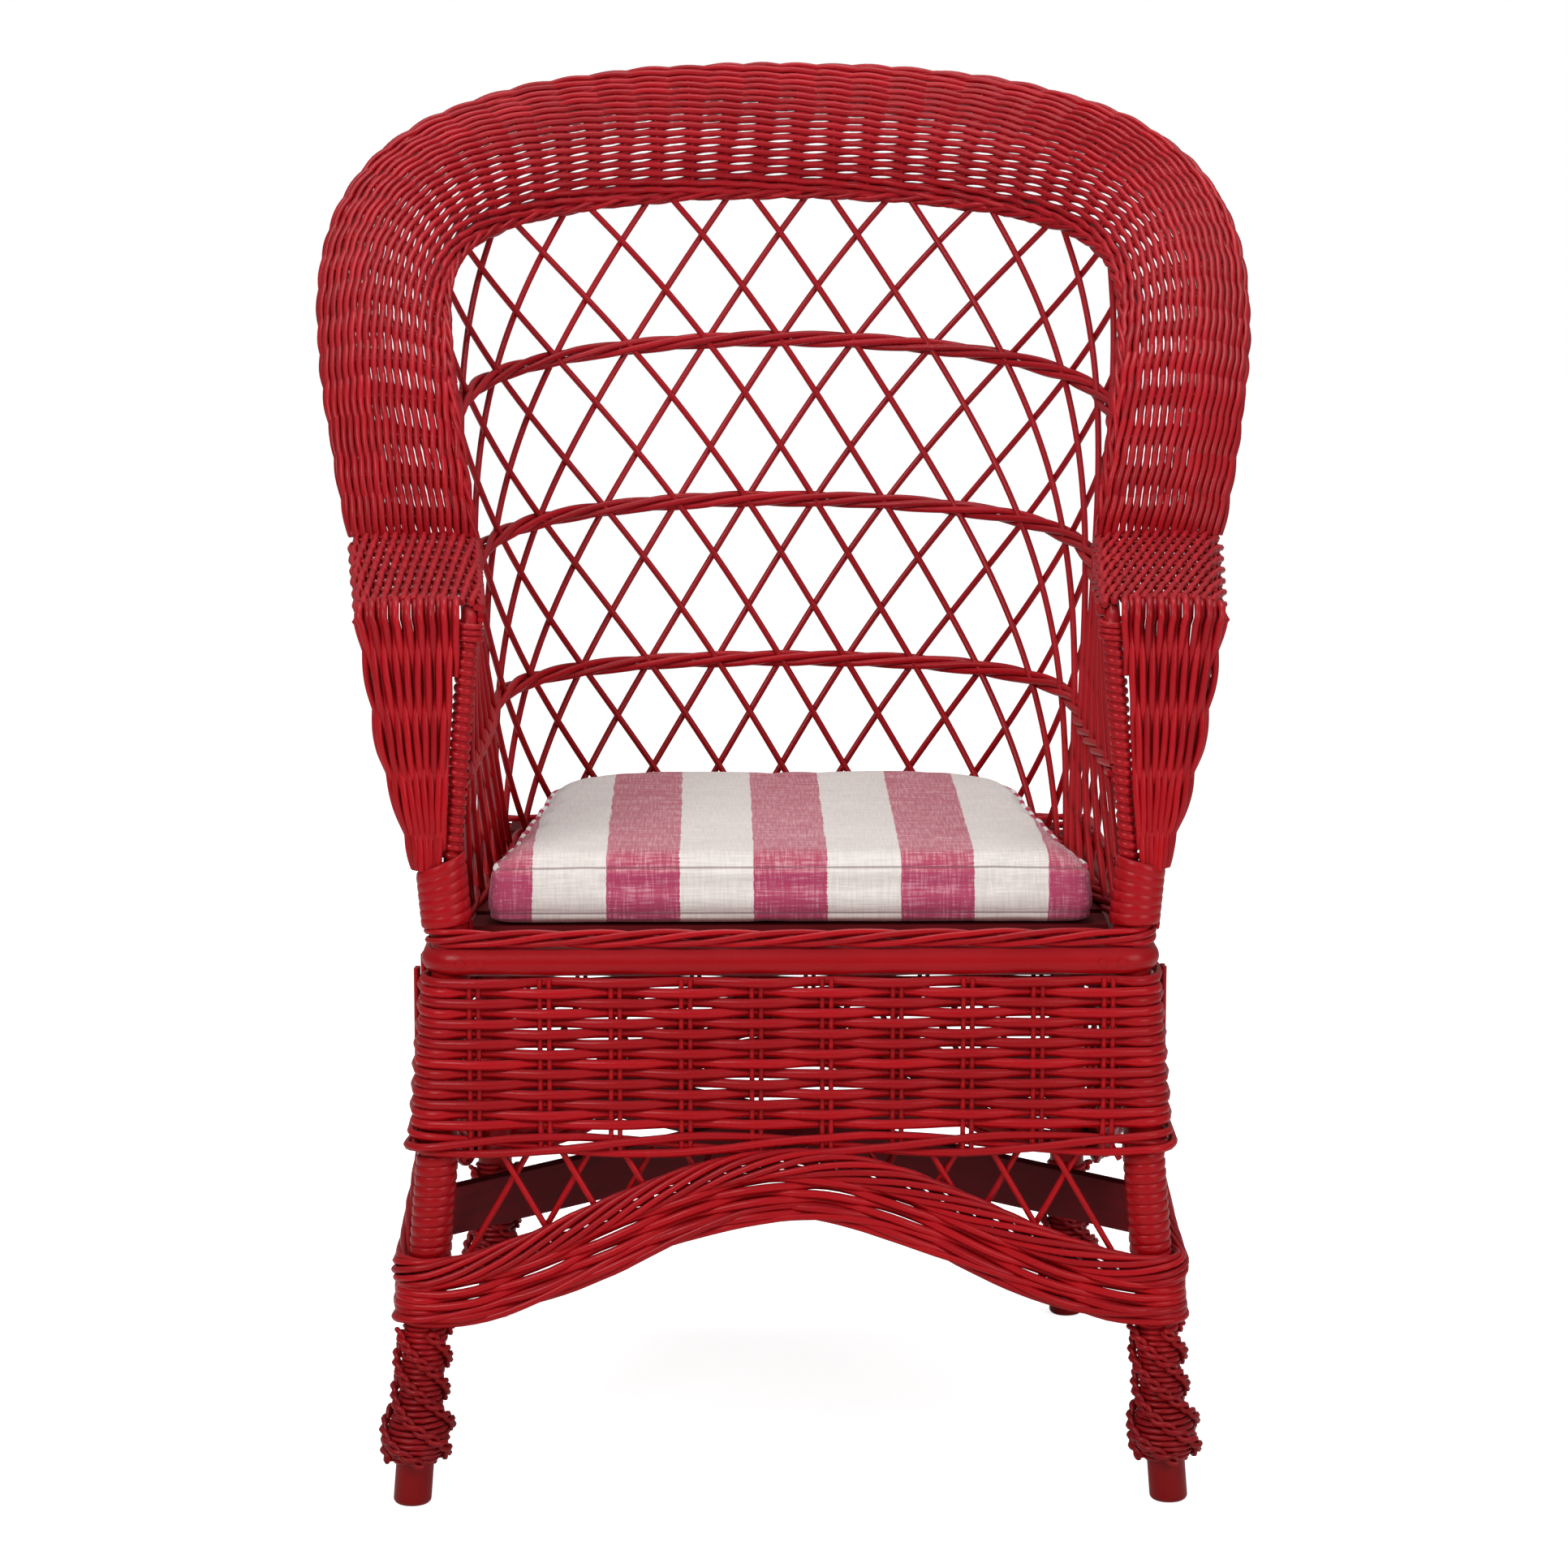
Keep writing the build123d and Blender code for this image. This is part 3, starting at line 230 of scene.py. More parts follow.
def reed_tree():
    """Lays reeds along guide lines. A guide carries the way out of the weave, a beat that counts
    the stakes passed, and a turn that counts the twists of a rope. The reeds wave once in two
    beats, slant to and fro across their row, or twist round each other."""
    tree = bpy.data.node_groups.new("reed_work", "GeometryNodeTree")
    tree.is_modifier = True
    tree.interface.new_socket("Guides", in_out="INPUT", socket_type="NodeSocketGeometry")
    for name in ("Width", "Thickness", "Wave", "Slant", "Rope Height", "Rope Width", "Unevenness"):
        tree.interface.new_socket(name, in_out="INPUT", socket_type="NodeSocketFloat")
    for name in ("Strands", "Sides", "Seed"):
        tree.interface.new_socket(name, in_out="INPUT", socket_type="NodeSocketInt")
    tree.interface.new_socket("Paint", in_out="INPUT", socket_type="NodeSocketMaterial")
    tree.interface.new_socket("Reeds", in_out="OUTPUT", socket_type="NodeSocketGeometry")
    flow = Flow(tree)
    given = flow.node("NodeGroupInput")

    def stored(name, kind="FLOAT"):
        return flow.node("GeometryNodeInputNamedAttribute", {"Name": name}, data_type=kind)

    lines = flow.node("GeometryNodeMeshToCurve", {"Mesh": given.out("Guides")})
    strands = flow.node(
        "GeometryNodeDuplicateElements",
        {"Geometry": lines, "Amount": given.out("Strands")},
        domain="SPLINE",
    )
    index = strands.out("Duplicate Index")
    lines = flow.node(
        "GeometryNodeStoreNamedAttribute",
        {"Geometry": strands, "Name": "strand", "Value": index},
        data_type="FLOAT",
        domain="CURVE",
    )
    chance = flow.node(
        "FunctionNodeRandomValue",
        {2: 0.0, 3: 1.0, "ID": flow.node("GeometryNodeInputIndex"), "Seed": given.out("Seed")},
        1,
        data_type="FLOAT",
    )
    lines = flow.node(
        "GeometryNodeStoreNamedAttribute",
        {"Geometry": lines, "Name": "tone", "Value": chance},
        data_type="FLOAT",
        domain="CURVE",
    )
    out, across = stored("out", "FLOAT_VECTOR"), stored("across", "FLOAT_VECTOR")
    tone = stored("tone")
    angle = (stored("turn") + stored("strand") / given.out("Strands")) * (2 * pi)
    high = given.out("Wave") * flow.math("SINE", stored("beat") * pi)
    high = high + given.out("Rope Height") * flow.math("COSINE", angle)
    wide = given.out("Rope Width") * flow.math("SINE", angle)
    wide = wide + given.out("Slant") * flow.math("COSINE", stored("beat") * pi)
    shift = flow.vector(
        "ADD", flow.vector("SCALE", out, scale=high), flow.vector("SCALE", across, scale=wide)
    )
    here = flow.node("GeometryNodeInputPosition")
    far = flow.node("ShaderNodeCombineXYZ", {0: tone * 31.0, 1: tone * 17.0, 2: tone * 7.0})
    drift = flow.noise(flow.vector("ADD", here, far), 26.0, 1.0).out("Color")
    drift = flow.vector("SUBTRACT", drift, (0.5, 0.5, 0.5))
    drift = flow.vector("SCALE", drift, scale=given.out("Unevenness") * 0.010)
    lines = flow.node(
        "GeometryNodeSetPosition", {"Geometry": lines, "Offset": flow.vector("ADD", shift, drift)}
    )
    size = 1.0 + given.out("Unevenness") * (tone - 0.5)
    lines = flow.node("GeometryNodeSetCurveRadius", {"Curve": lines, "Radius": size})
    lines = flow.node("GeometryNodeSetCurveNormal", {"Curve": lines}, mode="FREE")
    flow.feed(lines.socket.node.inputs["Normal"], out)
    profile = flow.node(
        "GeometryNodeCurvePrimitiveCircle", {"Resolution": given.out("Sides"), "Radius": 0.5}
    )
    shape = flow.node(
        "ShaderNodeCombineXYZ", {0: given.out("Thickness"), 1: given.out("Width"), 2: 1.0}
    )
    profile = flow.node("GeometryNodeTransform", {"Geometry": profile, "Scale": shape})
    reeds = flow.node(
        "GeometryNodeCurveToMesh", {"Curve": lines, "Profile Curve": profile, "Fill Caps": True}
    )
    reeds = flow.node("GeometryNodeSetShadeSmooth", {"Geometry": reeds})
    reeds = flow.node("GeometryNodeRealizeInstances", {"Geometry": reeds})
    reeds = flow.node(
        "GeometryNodeSetMaterial", {"Geometry": reeds, "Material": given.out("Paint")}
    )
    flow.feed(tree.nodes.new("NodeGroupOutput").inputs["Reeds"], reeds)
    return tree


reed_work = reed_tree()


def lay_reeds(
    name,
    guides,
    nodes,
    seed,
    width,
    thickness=None,
    paint=None,
    body="chair",
    slot="painted_reed",
    **sizes,
):
    """Makes one plain mesh of reeds in place of the frame's nodes. A guide is a list of
    (point, out, beat, turn), and closed when it ends in None."""
    points, edges, outs, sides, beats, turns = [], [], [], [], [], []
    for guide in guides:
        closed = guide[-1] is None
        stops = guide[:-1] if closed else guide
        first = len(points)
        last = len(stops) - 1
        for number, (point, out, beat, turn) in enumerate(stops):
            before = stops[number - 1][0] if number or closed else point
            after = stops[(number + 1) % len(stops)][0] if number < last or closed else point
            points.append(point)
            outs.extend(out)
            sides.extend(out.cross(after - before).normalized())
            beats.append(beat)
            turns.append(turn)
            if number:
                edges.append((first + number - 1, first + number))
        if closed:
            edges.append((first + last, first))
    mesh = bpy.data.meshes.new(name + "_guides")
    mesh.from_pydata(points, edges, [])
    for label, kind, field, values in (
        ("out", "FLOAT_VECTOR", "vector", outs),
        ("across", "FLOAT_VECTOR", "vector", sides),
        ("beat", "FLOAT", "value", beats),
        ("turn", "FLOAT", "value", turns),
    ):
        mesh.attributes.new(label, kind, "POINT").data.foreach_set(field, values)
    lines = bpy.data.objects.new(name + "_guides", mesh)
    bpy.context.scene.collection.objects.link(lines)
    work = lines.modifiers.new("reeds", "NODES")
    work.node_group = reed_work
    values = {
        "Width": width,
        "Thickness": thickness or width,
        "Wave": 0.0,
        "Slant": 0.0,
        "Rope Height": 0.0,
        "Rope Width": 0.0,
        "Unevenness": 0.12,
        "Strands": 1,
        "Sides": 6,
        "Seed": seed,
        "Paint": paint or reed_paint,
    }
    values.update(sizes)
    for item in reed_work.interface.items_tree:
        if item.in_out == "INPUT" and item.name in values:
            work[item.identifier] = values[item.name]
    evaluated = lines.evaluated_get(bpy.context.evaluated_depsgraph_get())
    woven = bpy.data.meshes.new_from_object(evaluated)
    woven.name = name
    piece = bpy.data.objects.new(name, woven)
    bpy.context.scene.collection.objects.link(piece)
    bpy.data.objects.remove(lines)
    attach(piece, body)
    if nodes:
        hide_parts(*nodes)


def between(value, low, high):
    """Smooth step from 0 at low to 1 at high."""
    share = min(1, max(0, (value - low) / (high - low)))
    return share * share * (3 - 2 * share)


# Everything below is measured from the middle of the legs, as the frame is set out.
HALF_DEPTH = 0.25  # from the middle to the feet
wrap_low, wrap_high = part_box("foot_wrap_front_left")
home = Vector((0, (wrap_low[1] + wrap_high[1]) / 2 + HALF_DEPTH, 0))
RAIL_AT = 0.410
LEG_R = 0.014
FRONT_FOOT, FRONT_KNEE = Vector((0.2800, -HALF_DEPTH, 0)), Vector((0.246, -HALF_DEPTH, RAIL_AT))
REAR_FOOT, REAR_KNEE = Vector((0.2405, HALF_DEPTH, 0)), Vector((0.235, 0.20, RAIL_AT))


def mirrored(point, side):
    """The point on the left (-1) or on the right (1)."""
    return Vector((side * point.x, point.y, point.z))


# In order round the chair, each with its foot and where it meets the rail.
LEGS = {
    (-1, "front"): (mirrored(FRONT_FOOT, -1), mirrored(FRONT_KNEE, -1)),
    (1, "front"): (FRONT_FOOT, FRONT_KNEE),
    (1, "rear"): (REAR_FOOT, REAR_KNEE),
    (-1, "rear"): (mirrored(REAR_FOOT, -1), mirrored(REAR_KNEE, -1)),
}


def leg_at(leg, height):
    """Centre of a leg at a height."""
    foot, knee = LEGS[leg]
    return home + foot + (knee - foot) * (height / RAIL_AT)


COIL_STEPS = 14  # points in one winding


def coil(leg, radius, low, high, pitch):
    """A guide wound round a leg. radius is a function of the height."""
    guide = []
    total = int((high - low) / pitch * COIL_STEPS)
    for number in range(total + 1):
        height = low + (high - low) * number / total
        angle = 2 * pi * number / COIL_STEPS
        out = Vector((cos(angle), sin(angle), 0))
        guide.append((leg_at(leg, height) + out * radius(height), out, 0.0, number / COIL_STEPS))
    return guide


def roped(line, twist):
    """A guide through (point, out) pairs for a rope that twists once in every length of twist."""
    guide = []
    length = 0.0
    for point, out in line:
        if guide:
            length += (point - guide[-1][0]).length
        guide.append((point, out, 0.0, length / twist))
    return guide


FOOT_LOW, FOOT_BULB, FOOT_WAIST, FOOT_HIGH = 0.031, 0.050, 0.085, 0.136
BULB_R, SOLE_R, WAIST_R = 0.0305, 0.0215, 0.0223
WINDING_SINK = 0.0085  # the winding's axis, in from the outside of the foot
WINDING_PITCH = 0.0046
RIB_COUNT = 4
RIB_DROP = 0.098  # how far a rib comes down in one turn round the foot
RIB_SINK = 0.0030
RIB_STEPS = 72
STEPS_PER_TWIST = 9


def foot_radius(height):
    """Outside of the wound foot: a bulb low down that tapers up to the leg."""
    if height < FOOT_BULB:
        return SOLE_R + (BULB_R - SOLE_R) * between(height, FOOT_LOW - 0.004, FOOT_BULB)
    return BULB_R - (BULB_R - WAIST_R) * between(height, FOOT_BULB, FOOT_WAIST) ** 0.8


for leg in LEGS:
    side = "left" if leg[0] < 0 else "right"
    node = f"foot_wrap_{leg[1]}_{side}"
    wound = coil(leg, lambda z: foot_radius(z) - WINDING_SINK, FOOT_LOW, FOOT_HIGH, WINDING_PITCH)
    lay_reeds(f"foot_winding_{leg[1]}_{side}", [wound], [node], 3, 0.0044, 0.0060, Unevenness=0.1)
    ribs = []
    for number in range(RIB_COUNT):
        rib = []
        for step in range(RIB_STEPS + 1):
            height = FOOT_HIGH - 0.003 - (FOOT_HIGH - FOOT_LOW - 0.005) * step / RIB_STEPS
            angle = 2 * pi * ((FOOT_HIGH - height) / RIB_DROP + number / RIB_COUNT)
            out = Vector((cos(angle), sin(angle), 0))
            point = leg_at(leg, height) + out * (foot_radius(height) - RIB_SINK)
            rib.append((point, out, 0.0, step / STEPS_PER_TWIST))
        ribs.append(rib)
    sizes = {"Strands": 2, "Rope Height": 0.0014, "Rope Width": 0.0026, "Unevenness": 0.10}
    lay_reeds(f"foot_ribs_{leg[1]}_{side}", ribs, [], 5, 0.0044, **sizes)

# --- Leg bindings -------------------------------------------------------------------------------
# Flat cane wound round each leg between the skirt and the apron, each turn lapping a little over
# the last. Its ends are tucked under the weaving above and below.

BINDING_LOW, BINDING_HIGH, BINDING_PITCH = 0.180, 0.268, 0.0076
BINDING_SEAT = 0.0004  # the cane's axis above the leg's surface
guides = [
    coil(leg, lambda z: LEG_R + BINDING_SEAT, BINDING_LOW, BINDING_HIGH, BINDING_PITCH)
    for leg in LEGS
]
sizes = {"Unevenness": 0.05, "Sides": 8}
lay_reeds("leg_bindings_cane", guides, ["leg_bindings"], 8, 0.0084, 0.0026, **sizes)

# --- Skirt --------------------------------------------------------------------------------------
# Low woven border that arches between the legs and is wrapped round them. Its upper edge is a
# thick plait, and crossed stakes tie it to the apron above.


def ring(height, reach, beats):
    """A closed guide round the four legs. height is a function of the place on a face, from -1 to
    1 between two legs, and beats counts the stakes on the front and on a side."""
    corners = list(LEGS)
    guide = []
    passed = 0
    length = 0.0
    for number, leg in enumerate(corners):
        following = corners[(number + 1) % 4]
        count = beats[number % 2]
        steps = count * 6
        for step in range(steps + 1):
            place = 2 * step / steps - 1
            z = height(place)
            near, far = leg_at(leg, z), leg_at(following, z)
            out = (far - near).cross(Vector((0, 0, 1))).normalized()
            point = near + (far - near) * (step / steps) + out * reach
            guide.append([point, out, passed + count * step / steps, 0.0])
        passed += count
        after = corners[(number + 2) % 4]
        turned = (leg_at(after, z) - leg_at(following, z)).cross(Vector((0, 0, 1))).normalized()
        for share in (0.2, 0.4, 0.6, 0.8):
            out_here = out.slerp(turned, share)
            guide.append([leg_at(following, z) + out_here * reach, out_here, passed, 0.0])
    for before, here in zip(guide, guide[1:]):
        length += (here[0] - before[0]).length
        here[3] = length
    length += (guide[0][0] - guide[-1][0]).length
    return guide, length


def closed_row(height, reach, beats, shift=0.0, twist=0.0):
    """A ring whose beat starts at shift, twisted a whole number of times."""
    guide, length = ring(height, reach, beats)
    rope = round(length / twist) / length if twist else 0.0
    return [(point, out, beat + shift, run * rope) for point, out, beat, run in guide] + [None]


SKIRT_REACH = 0.0205  # the rows' middle, out from the legs' axes
SKIRT_BEATS = (10, 9)
SKIRT_ROWS = 6
STAKE_TOP, STAKE_STEP = 0.272, 0.005
STAKE_GAP = 0.046  # between the stakes of one layer
STAKE_LEAN = 0.577
STAKE_IN, LAYER_GAP = 0.0065, 0.0050


def skirt_height(share):
    """Height along the arch, at a share of the way from its lower to its upper edge."""

    def height(place):
        low = 0.144 + 0.079 * cos(pi * place / 2) ** 2
        high = 0.188 + 0.083 * abs(cos(pi * place / 2)) ** 1.6
        return low + (high - low) * share

    return height


borders = [f"skirt_border_{side}" for side in ("front", "rear", "left", "right")]
rows = []
for number in range(SKIRT_ROWS):
    rows.append(closed_row(skirt_height(0.02 + 0.108 * number), SKIRT_REACH, SKIRT_BEATS, number))
lay_reeds("skirt_rows", rows, borders + ["skirt_wraps"], 11, 0.0063, Wave=0.0034, Unevenness=0.3)
plait = [closed_row(skirt_height(0.80), SKIRT_REACH, SKIRT_BEATS, 0, 0.26)]
sizes = {"Strands": 9, "Rope Height": 0.0052, "Rope Width": 0.0092, "Unevenness": 0.25}
lay_reeds("skirt_plait", plait, [], 12, 0.0052, **sizes)
edge = [closed_row(skirt_height(0.04), SKIRT_REACH, SKIRT_BEATS, 0, 0.30)]
sizes = {"Strands": 3, "Rope Height": 0.0030, "Rope Width": 0.0052, "Unevenness": 0.2}
lay_reeds("skirt_lower_edge", edge, [], 13, 0.0056, **sizes)
stakes = []
corners = list(LEGS)
for number, leg in enumerate(corners):
    following = corners[(number + 1) % 4]
    width = (leg_at(following, 0.27) - leg_at(leg, 0.27)).length - 0.024
    count = round(width / STAKE_GAP)
    for stop in range(count + 1):
        for lean, layer in ((1, 0.0), (-1, LAYER_GAP)):
            guide = []
            for step in range(24):
                z = STAKE_TOP - step * STAKE_STEP
                near, far = leg_at(leg, z), leg_at(following, z)
                across = (far - near).normalized()
                out = across.cross(Vector((0, 0, 1))).normalized()
                place = 2 * stop / count - 1
                away = place * width / 2 + lean * (STAKE_LEAN * (STAKE_TOP - z) - 0.012)
                share = 2 * away / (far - near).length
                if abs(share) > 0.93 or z < skirt_height(0.62)(share):
                    break
                point = (near + far) / 2 + across * away + out * (SKIRT_REACH - STAKE_IN - layer)
                guide.append((point, out, 0.0, 0.0))
            if len(guide) > 1:
                stakes.append(guide)
nodes = [f"skirt_stakes_{side}" for side in ("front", "rear", "left", "right")]
lay_reeds("skirt_stakes_crossed", stakes, nodes, 14, 0.0050, Unevenness=0.06)

# --- Apron --------------------------------------------------------------------------------------
# Close woven ring under the bent seat rail, worked round the outside of the legs over pairs of
# stakes, with a three-reed border below and another on top of the rail.

APRON_REACH = 0.0190
APRON_BEATS = (10, 9)
APRON_ROWS = 15
APRON_LOW, APRON_HIGH = 0.2905, 0.3955
PAIR_HALF_GAP = 0.0032
PAIR_LOW, PAIR_HIGH = 0.270, 0.398
rows = []
for number in range(APRON_ROWS):
    z = APRON_LOW + (APRON_HIGH - APRON_LOW) * number / (APRON_ROWS - 1)
    rows.append(closed_row(lambda place, z=z: z, APRON_REACH, APRON_BEATS, number))
panels = [f"apron_{side}" for side in ("front", "rear", "left", "right")]
lay_reeds("apron_rows", rows, panels, 21, 0.0079, 0.0064, Wave=0.0033, Unevenness=0.20)
borders = [closed_row(lambda place: 0.2755, APRON_REACH + 0.001, APRON_BEATS, 0, 0.34)]
sizes = {"Strands": 3, "Rope Height": 0.0032, "Rope Width": 0.0064, "Unevenness": 0.2}
lay_reeds("apron_lower_border", borders, [], 22, 0.0064, **sizes)
borders = [closed_row(lambda place: 0.4275, 0.0165, APRON_BEATS, 0, 0.20)]
sizes = {"Strands": 4, "Rope Height": 0.0034, "Rope Width": 0.0046, "Unevenness": 0.2}
lay_reeds("apron_upper_border", borders, [], 23, 0.0048, **sizes)
stakes = []
PAIR_FOOT = 0.300
whole = closed_row(lambda place: PAIR_FOOT, APRON_REACH, APRON_BEATS)[:-1]
for foot, out, beat, _ in whole:
    if abs(beat % 1 - 0.5) > 0.01:
        continue
    along = out.cross(Vector((0, 0, 1)))
    for step in (-PAIR_HALF_GAP, PAIR_HALF_GAP):
        start = foot + along * step
        rises = (PAIR_LOW - PAIR_FOOT, 0.03, PAIR_HIGH - PAIR_FOOT)
        stakes.append([(start + Vector((0, 0, rise)), out, 0.0, 0.0) for rise in rises])
lay_reeds("apron_stakes", stakes, [], 24, 0.0042, Unevenness=0.15)

# --- Lattice ------------------------------------------------------------------------------------
# Single stakes cross in two layers from the seat up to the hoop. Three bands of four reeds are
# twined round them, and one more at the deck.

lattice = [f"back_stakes_{side}_leaning" for side in ("left", "right")]
lattice += [f"side_stakes_{side}" for side in ("left", "right")]
dress(lattice, pole_paint)

DECK, ARM_REAR, ARM_FRONT, CREST = 0.430, 0.684, 0.660, 0.943
CORNER, SIDE = 7, 5  # crossings from the middle of the back to the corner, and on to the stile
STILE_X, STILE_Y = 0.2304, -HALF_DEPTH


def wall(node, height):
    """A point of the barrel wall and the way out of it. node counts lattice crossings from the
    middle of the back."""
    side = 1 if node >= 0 else -1
    rise = height - DECK
    half = 0.222 + 0.06 * rise + 0.13 * rise**2
    deep = 0.200 + 0.13 * rise + 0.135 * rise**2
    if abs(node) <= CORNER:
        turn = radians(90 - 90 * abs(node) / CORNER)
        reach = (cos(turn) ** 3 + sin(turn) ** 3) ** (-1 / 3)
        x, y = half * cos(turn) * reach, deep * sin(turn) * reach
        out = Vector(((x / half) ** 2 / half, (y / deep) ** 2 / deep, 0)).normalized()
    else:
        along = (abs(node) - CORNER) / SIDE
        front = STILE_X + 0.05 * (0.655 - height)
        x, y = front + (half - front) * (1 + cos(pi * along)) / 2, STILE_Y * along
        out = Vector((1, 0, 0))
    out.x *= side
    return home + Vector((side * x, y, height)), out


def band_height(node, level):
    droop = 1 - cos(pi / 2 * min(abs(node) / CORNER, 1))
    return 0.4338 + 0.1285 * level - 0.020 * level * droop


# Where each band ends on either side, in crossings. The upper one stops at the roll.
BANDS = {"seat_ring": 11.6, "band_lower": 11.87, "band_middle": 11.87, "band_upper": 6.9}
BAND_TWIST = 0.19
for level, (name, end) in enumerate(BANDS.items()):
    steps = int(end * 10)
    line = []
    for step in range(-steps, steps + 1):
        node = end * step / steps
        line.append(wall(node, band_height(node, level)))
    sizes = {"Strands": 4, "Rope Height": 0.0050, "Rope Width": 0.0040, "Unevenness": 0.14}
    band = roped(line, BAND_TWIST)
    lay_reeds(name + "_twining", [band], [name], 31 + level, 0.0056, Sides=8, **sizes)

# --- Rolled border ------------------------------------------------------------------------------
# The back ends in a wide roll, woven lengthwise over ribs that are bent from the inner hoop to the
# outer one. The reeds run slowly outwards and over the outer hoop, which scallops the edge.

HOOP_R = 0.006


def inner_rim(turn):
    side = 1 if turn >= 0 else -1
    angle = radians(min(90, abs(turn)))
    node = side * 7.6 * sin(angle) ** (2 / 2.3)
    return wall(node, ARM_REAR + (CREST - ARM_REAR) * cos(angle))[0]


def outer_rim(turn):
    side = 1 if turn >= 0 else -1
    share = min(1, abs(turn) / 60)
    lean = pi / 2 * share**2 * (3 - 2 * share)
    curl = 0.32 * (1 - (abs(turn) / 90) ** 3)
    width = 0.0914 - 0.0154 * (abs(turn) / 90) ** 2
    return inner_rim(turn) + Vector((side * sin(lean), curl, cos(lean))).normalized() * width


def over_poles(station, share):
    """A point of the weave between two poles, and the way out of it. A station is the two pole
    centres, the way the weave faces, its bulge, and the angles at which it leaves the poles."""
    start, end, face, bulge, angle_in, angle_out, lift = station
    across = end - start
    width = across.length
    across.normalize()
    face = (face - across * face.dot(across)).normalized()
    reach = HOOP_R + lift
    first = reach * radians(angle_in - 90)
    last = reach * radians(90 - angle_out)
    place = share * (first + width + last)
    if place < first:
        angle = radians(angle_in) - place / reach
        out = across * cos(angle) + face * sin(angle)
        return start + out * reach, out
    if place > first + width:
        angle = radians(90) - (place - first - width) / reach
        out = across * cos(angle) + face * sin(angle)
        return end + out * reach, out
    q = (place - first) / width
    slope = bulge * 4 * (1 - 2 * q) / width
    out = (face - across * slope).normalized()
    return start + across * (q * width) + face * (reach + bulge * 4 * q * (1 - q)), out


def weave(stations, per_beat, strands, drift):
    """Guides of the reeds laid lengthwise over the stations, each moving drift of a row outwards
    at every beat."""
    guides = []
    beats = (len(stations) - 1) / per_beat
    first = -int(beats * drift) - 1 if drift > 0 else 0
    last = strands if drift > 0 else strands + int(-beats * drift) + 1
    for row in range(first, last):
        guide = []
        for number, station in enumerate(stations):
            beat = number / per_beat
            share = (row + 0.5 + beat * drift) / strands
            if 0 <= share <= 1:
                point, out = over_poles(station, share)
                guide.append((point, out, beat + row, 0.0))
        if len(guide) > per_beat:
            guides.append(guide)
    return guides


def ribs_of(stations, per_beat, steps):
    """Guides of the ribs, one under every float."""
    guides = []
    for number in range(per_beat // 2, len(stations), per_beat):
        guide = []
        for step in range(steps + 1):
            point, out = over_poles(stations[number], step / steps)
            guide.append((point, out, 0.0, 0.0))
        guides.append(guide)
    return guides


def edge_line(stations, outward, upward, reach):
    """(point, out) pairs beside the stations' first poles, off the weave's free edge."""
    line = []
    for start, end, face in (station[:3] for station in stations):
        out = ((start - end).normalized() * outward + face.normalized() * upward).normalized()
        line.append((start + out * reach, out))
    return line


ROLL_BEATS, ROLL_ROWS, PER_BEAT = 46, 44, 6
DRIFT = 0.35  # rows that a reed moves outwards at every beat
ROLL_END = 88.2  # degrees from the top of the back
FINE_STEPS = 1200
# Stations lie evenly along the middle of the roll, found on a finer run of angles.
fine = [-ROLL_END + 2 * ROLL_END * step / FINE_STEPS for step in range(FINE_STEPS + 1)]
lengths = [0.0]
for before, turn in zip(fine, fine[1:]):
    middle = (inner_rim(before) + outer_rim(before)) / 2
    lengths.append(lengths[-1] + ((inner_rim(turn) + outer_rim(turn)) / 2 - middle).length)
stations = []
number = 0
for stop in range(ROLL_BEATS * PER_BEAT + 1):
    want = lengths[-1] * stop / (ROLL_BEATS * PER_BEAT)
    while number < FINE_STEPS - 1 and lengths[number + 1] < want:
        number += 1
    share = (want - lengths[number]) / (lengths[number + 1] - lengths[number])
    turn = fine[number] + (fine[number + 1] - fine[number]) * share
    start, end = inner_rim(turn), outer_rim(turn)
    ahead = inner_rim(min(turn + 1, 90)) - inner_rim(max(turn - 1, -90))
    bulge = 0.017 * max(0, cos(radians(turn))) ** 0.5
    stations.append((start, end, ahead.cross(end - start), bulge, 200, -100, 0.0024))
rolls = ["roll_crest"]
for part in ("shoulder", "wing"):
    rolls += [f"roll_{part}_{side}" for side in ("left", "right")]
rows = weave(stations, PER_BEAT, ROLL_ROWS, DRIFT)
sizes = {"Wave": 0.0016, "Slant": 0.0016, "Unevenness": 0.16}
lay_reeds("roll_reeds", rows, rolls, 41, 0.0054, 0.0050, **sizes)
lay_reeds("roll_ribs", ribs_of(stations, PER_BEAT, 14), [], 42, 0.0034)
edge = roped(edge_line(stations[::2], 0.9, 0.42, 0.0090), 0.075)
sizes = {"Strands": 3, "Rope Height": 0.0026, "Rope Width": 0.0032, "Unevenness": 0.15}
lay_reeds("roll_inner_edge", [edge], [], 43, 0.0046, **sizes)

# --- Arms ---------------------------------------------------------------------------------------
# The roll's reeds run on along the arm tops over cross ribs, bend over the front end and fan
# down the arm fronts to the corner binding.

ARM_BEATS, FRONT_BEATS = 9, 4
ARM_ROWS, FRONT_ROWS = 31, 19
ARM_WIDTH, ARM_TAPER = 0.076, 0.005
FRONT_WIDTH = ARM_WIDTH - ARM_TAPER
BEND_STEPS = 5
TOP_ANGLES, FRONT_ANGLES = (190, -60), (40, -30)  # where the weave leaves the two poles
# Corners of the arm front as (x, z).
INNER_FOOT, OUTER_FOOT, KNEE = (0.246, 0.474), (0.261, 0.474), (0.2830, 0.560)
FRONT_HIGH, FRONT_LOW = ARM_FRONT - 0.006, 0.476
CANE_HIGH, CANE_LOW, CANE_TURNS = 0.652, 0.484, 25
CAP_HIGH, CAP_PITCH, CAP_TURNS = 0.657, 0.0045, 3
TURN_STEPS = 12


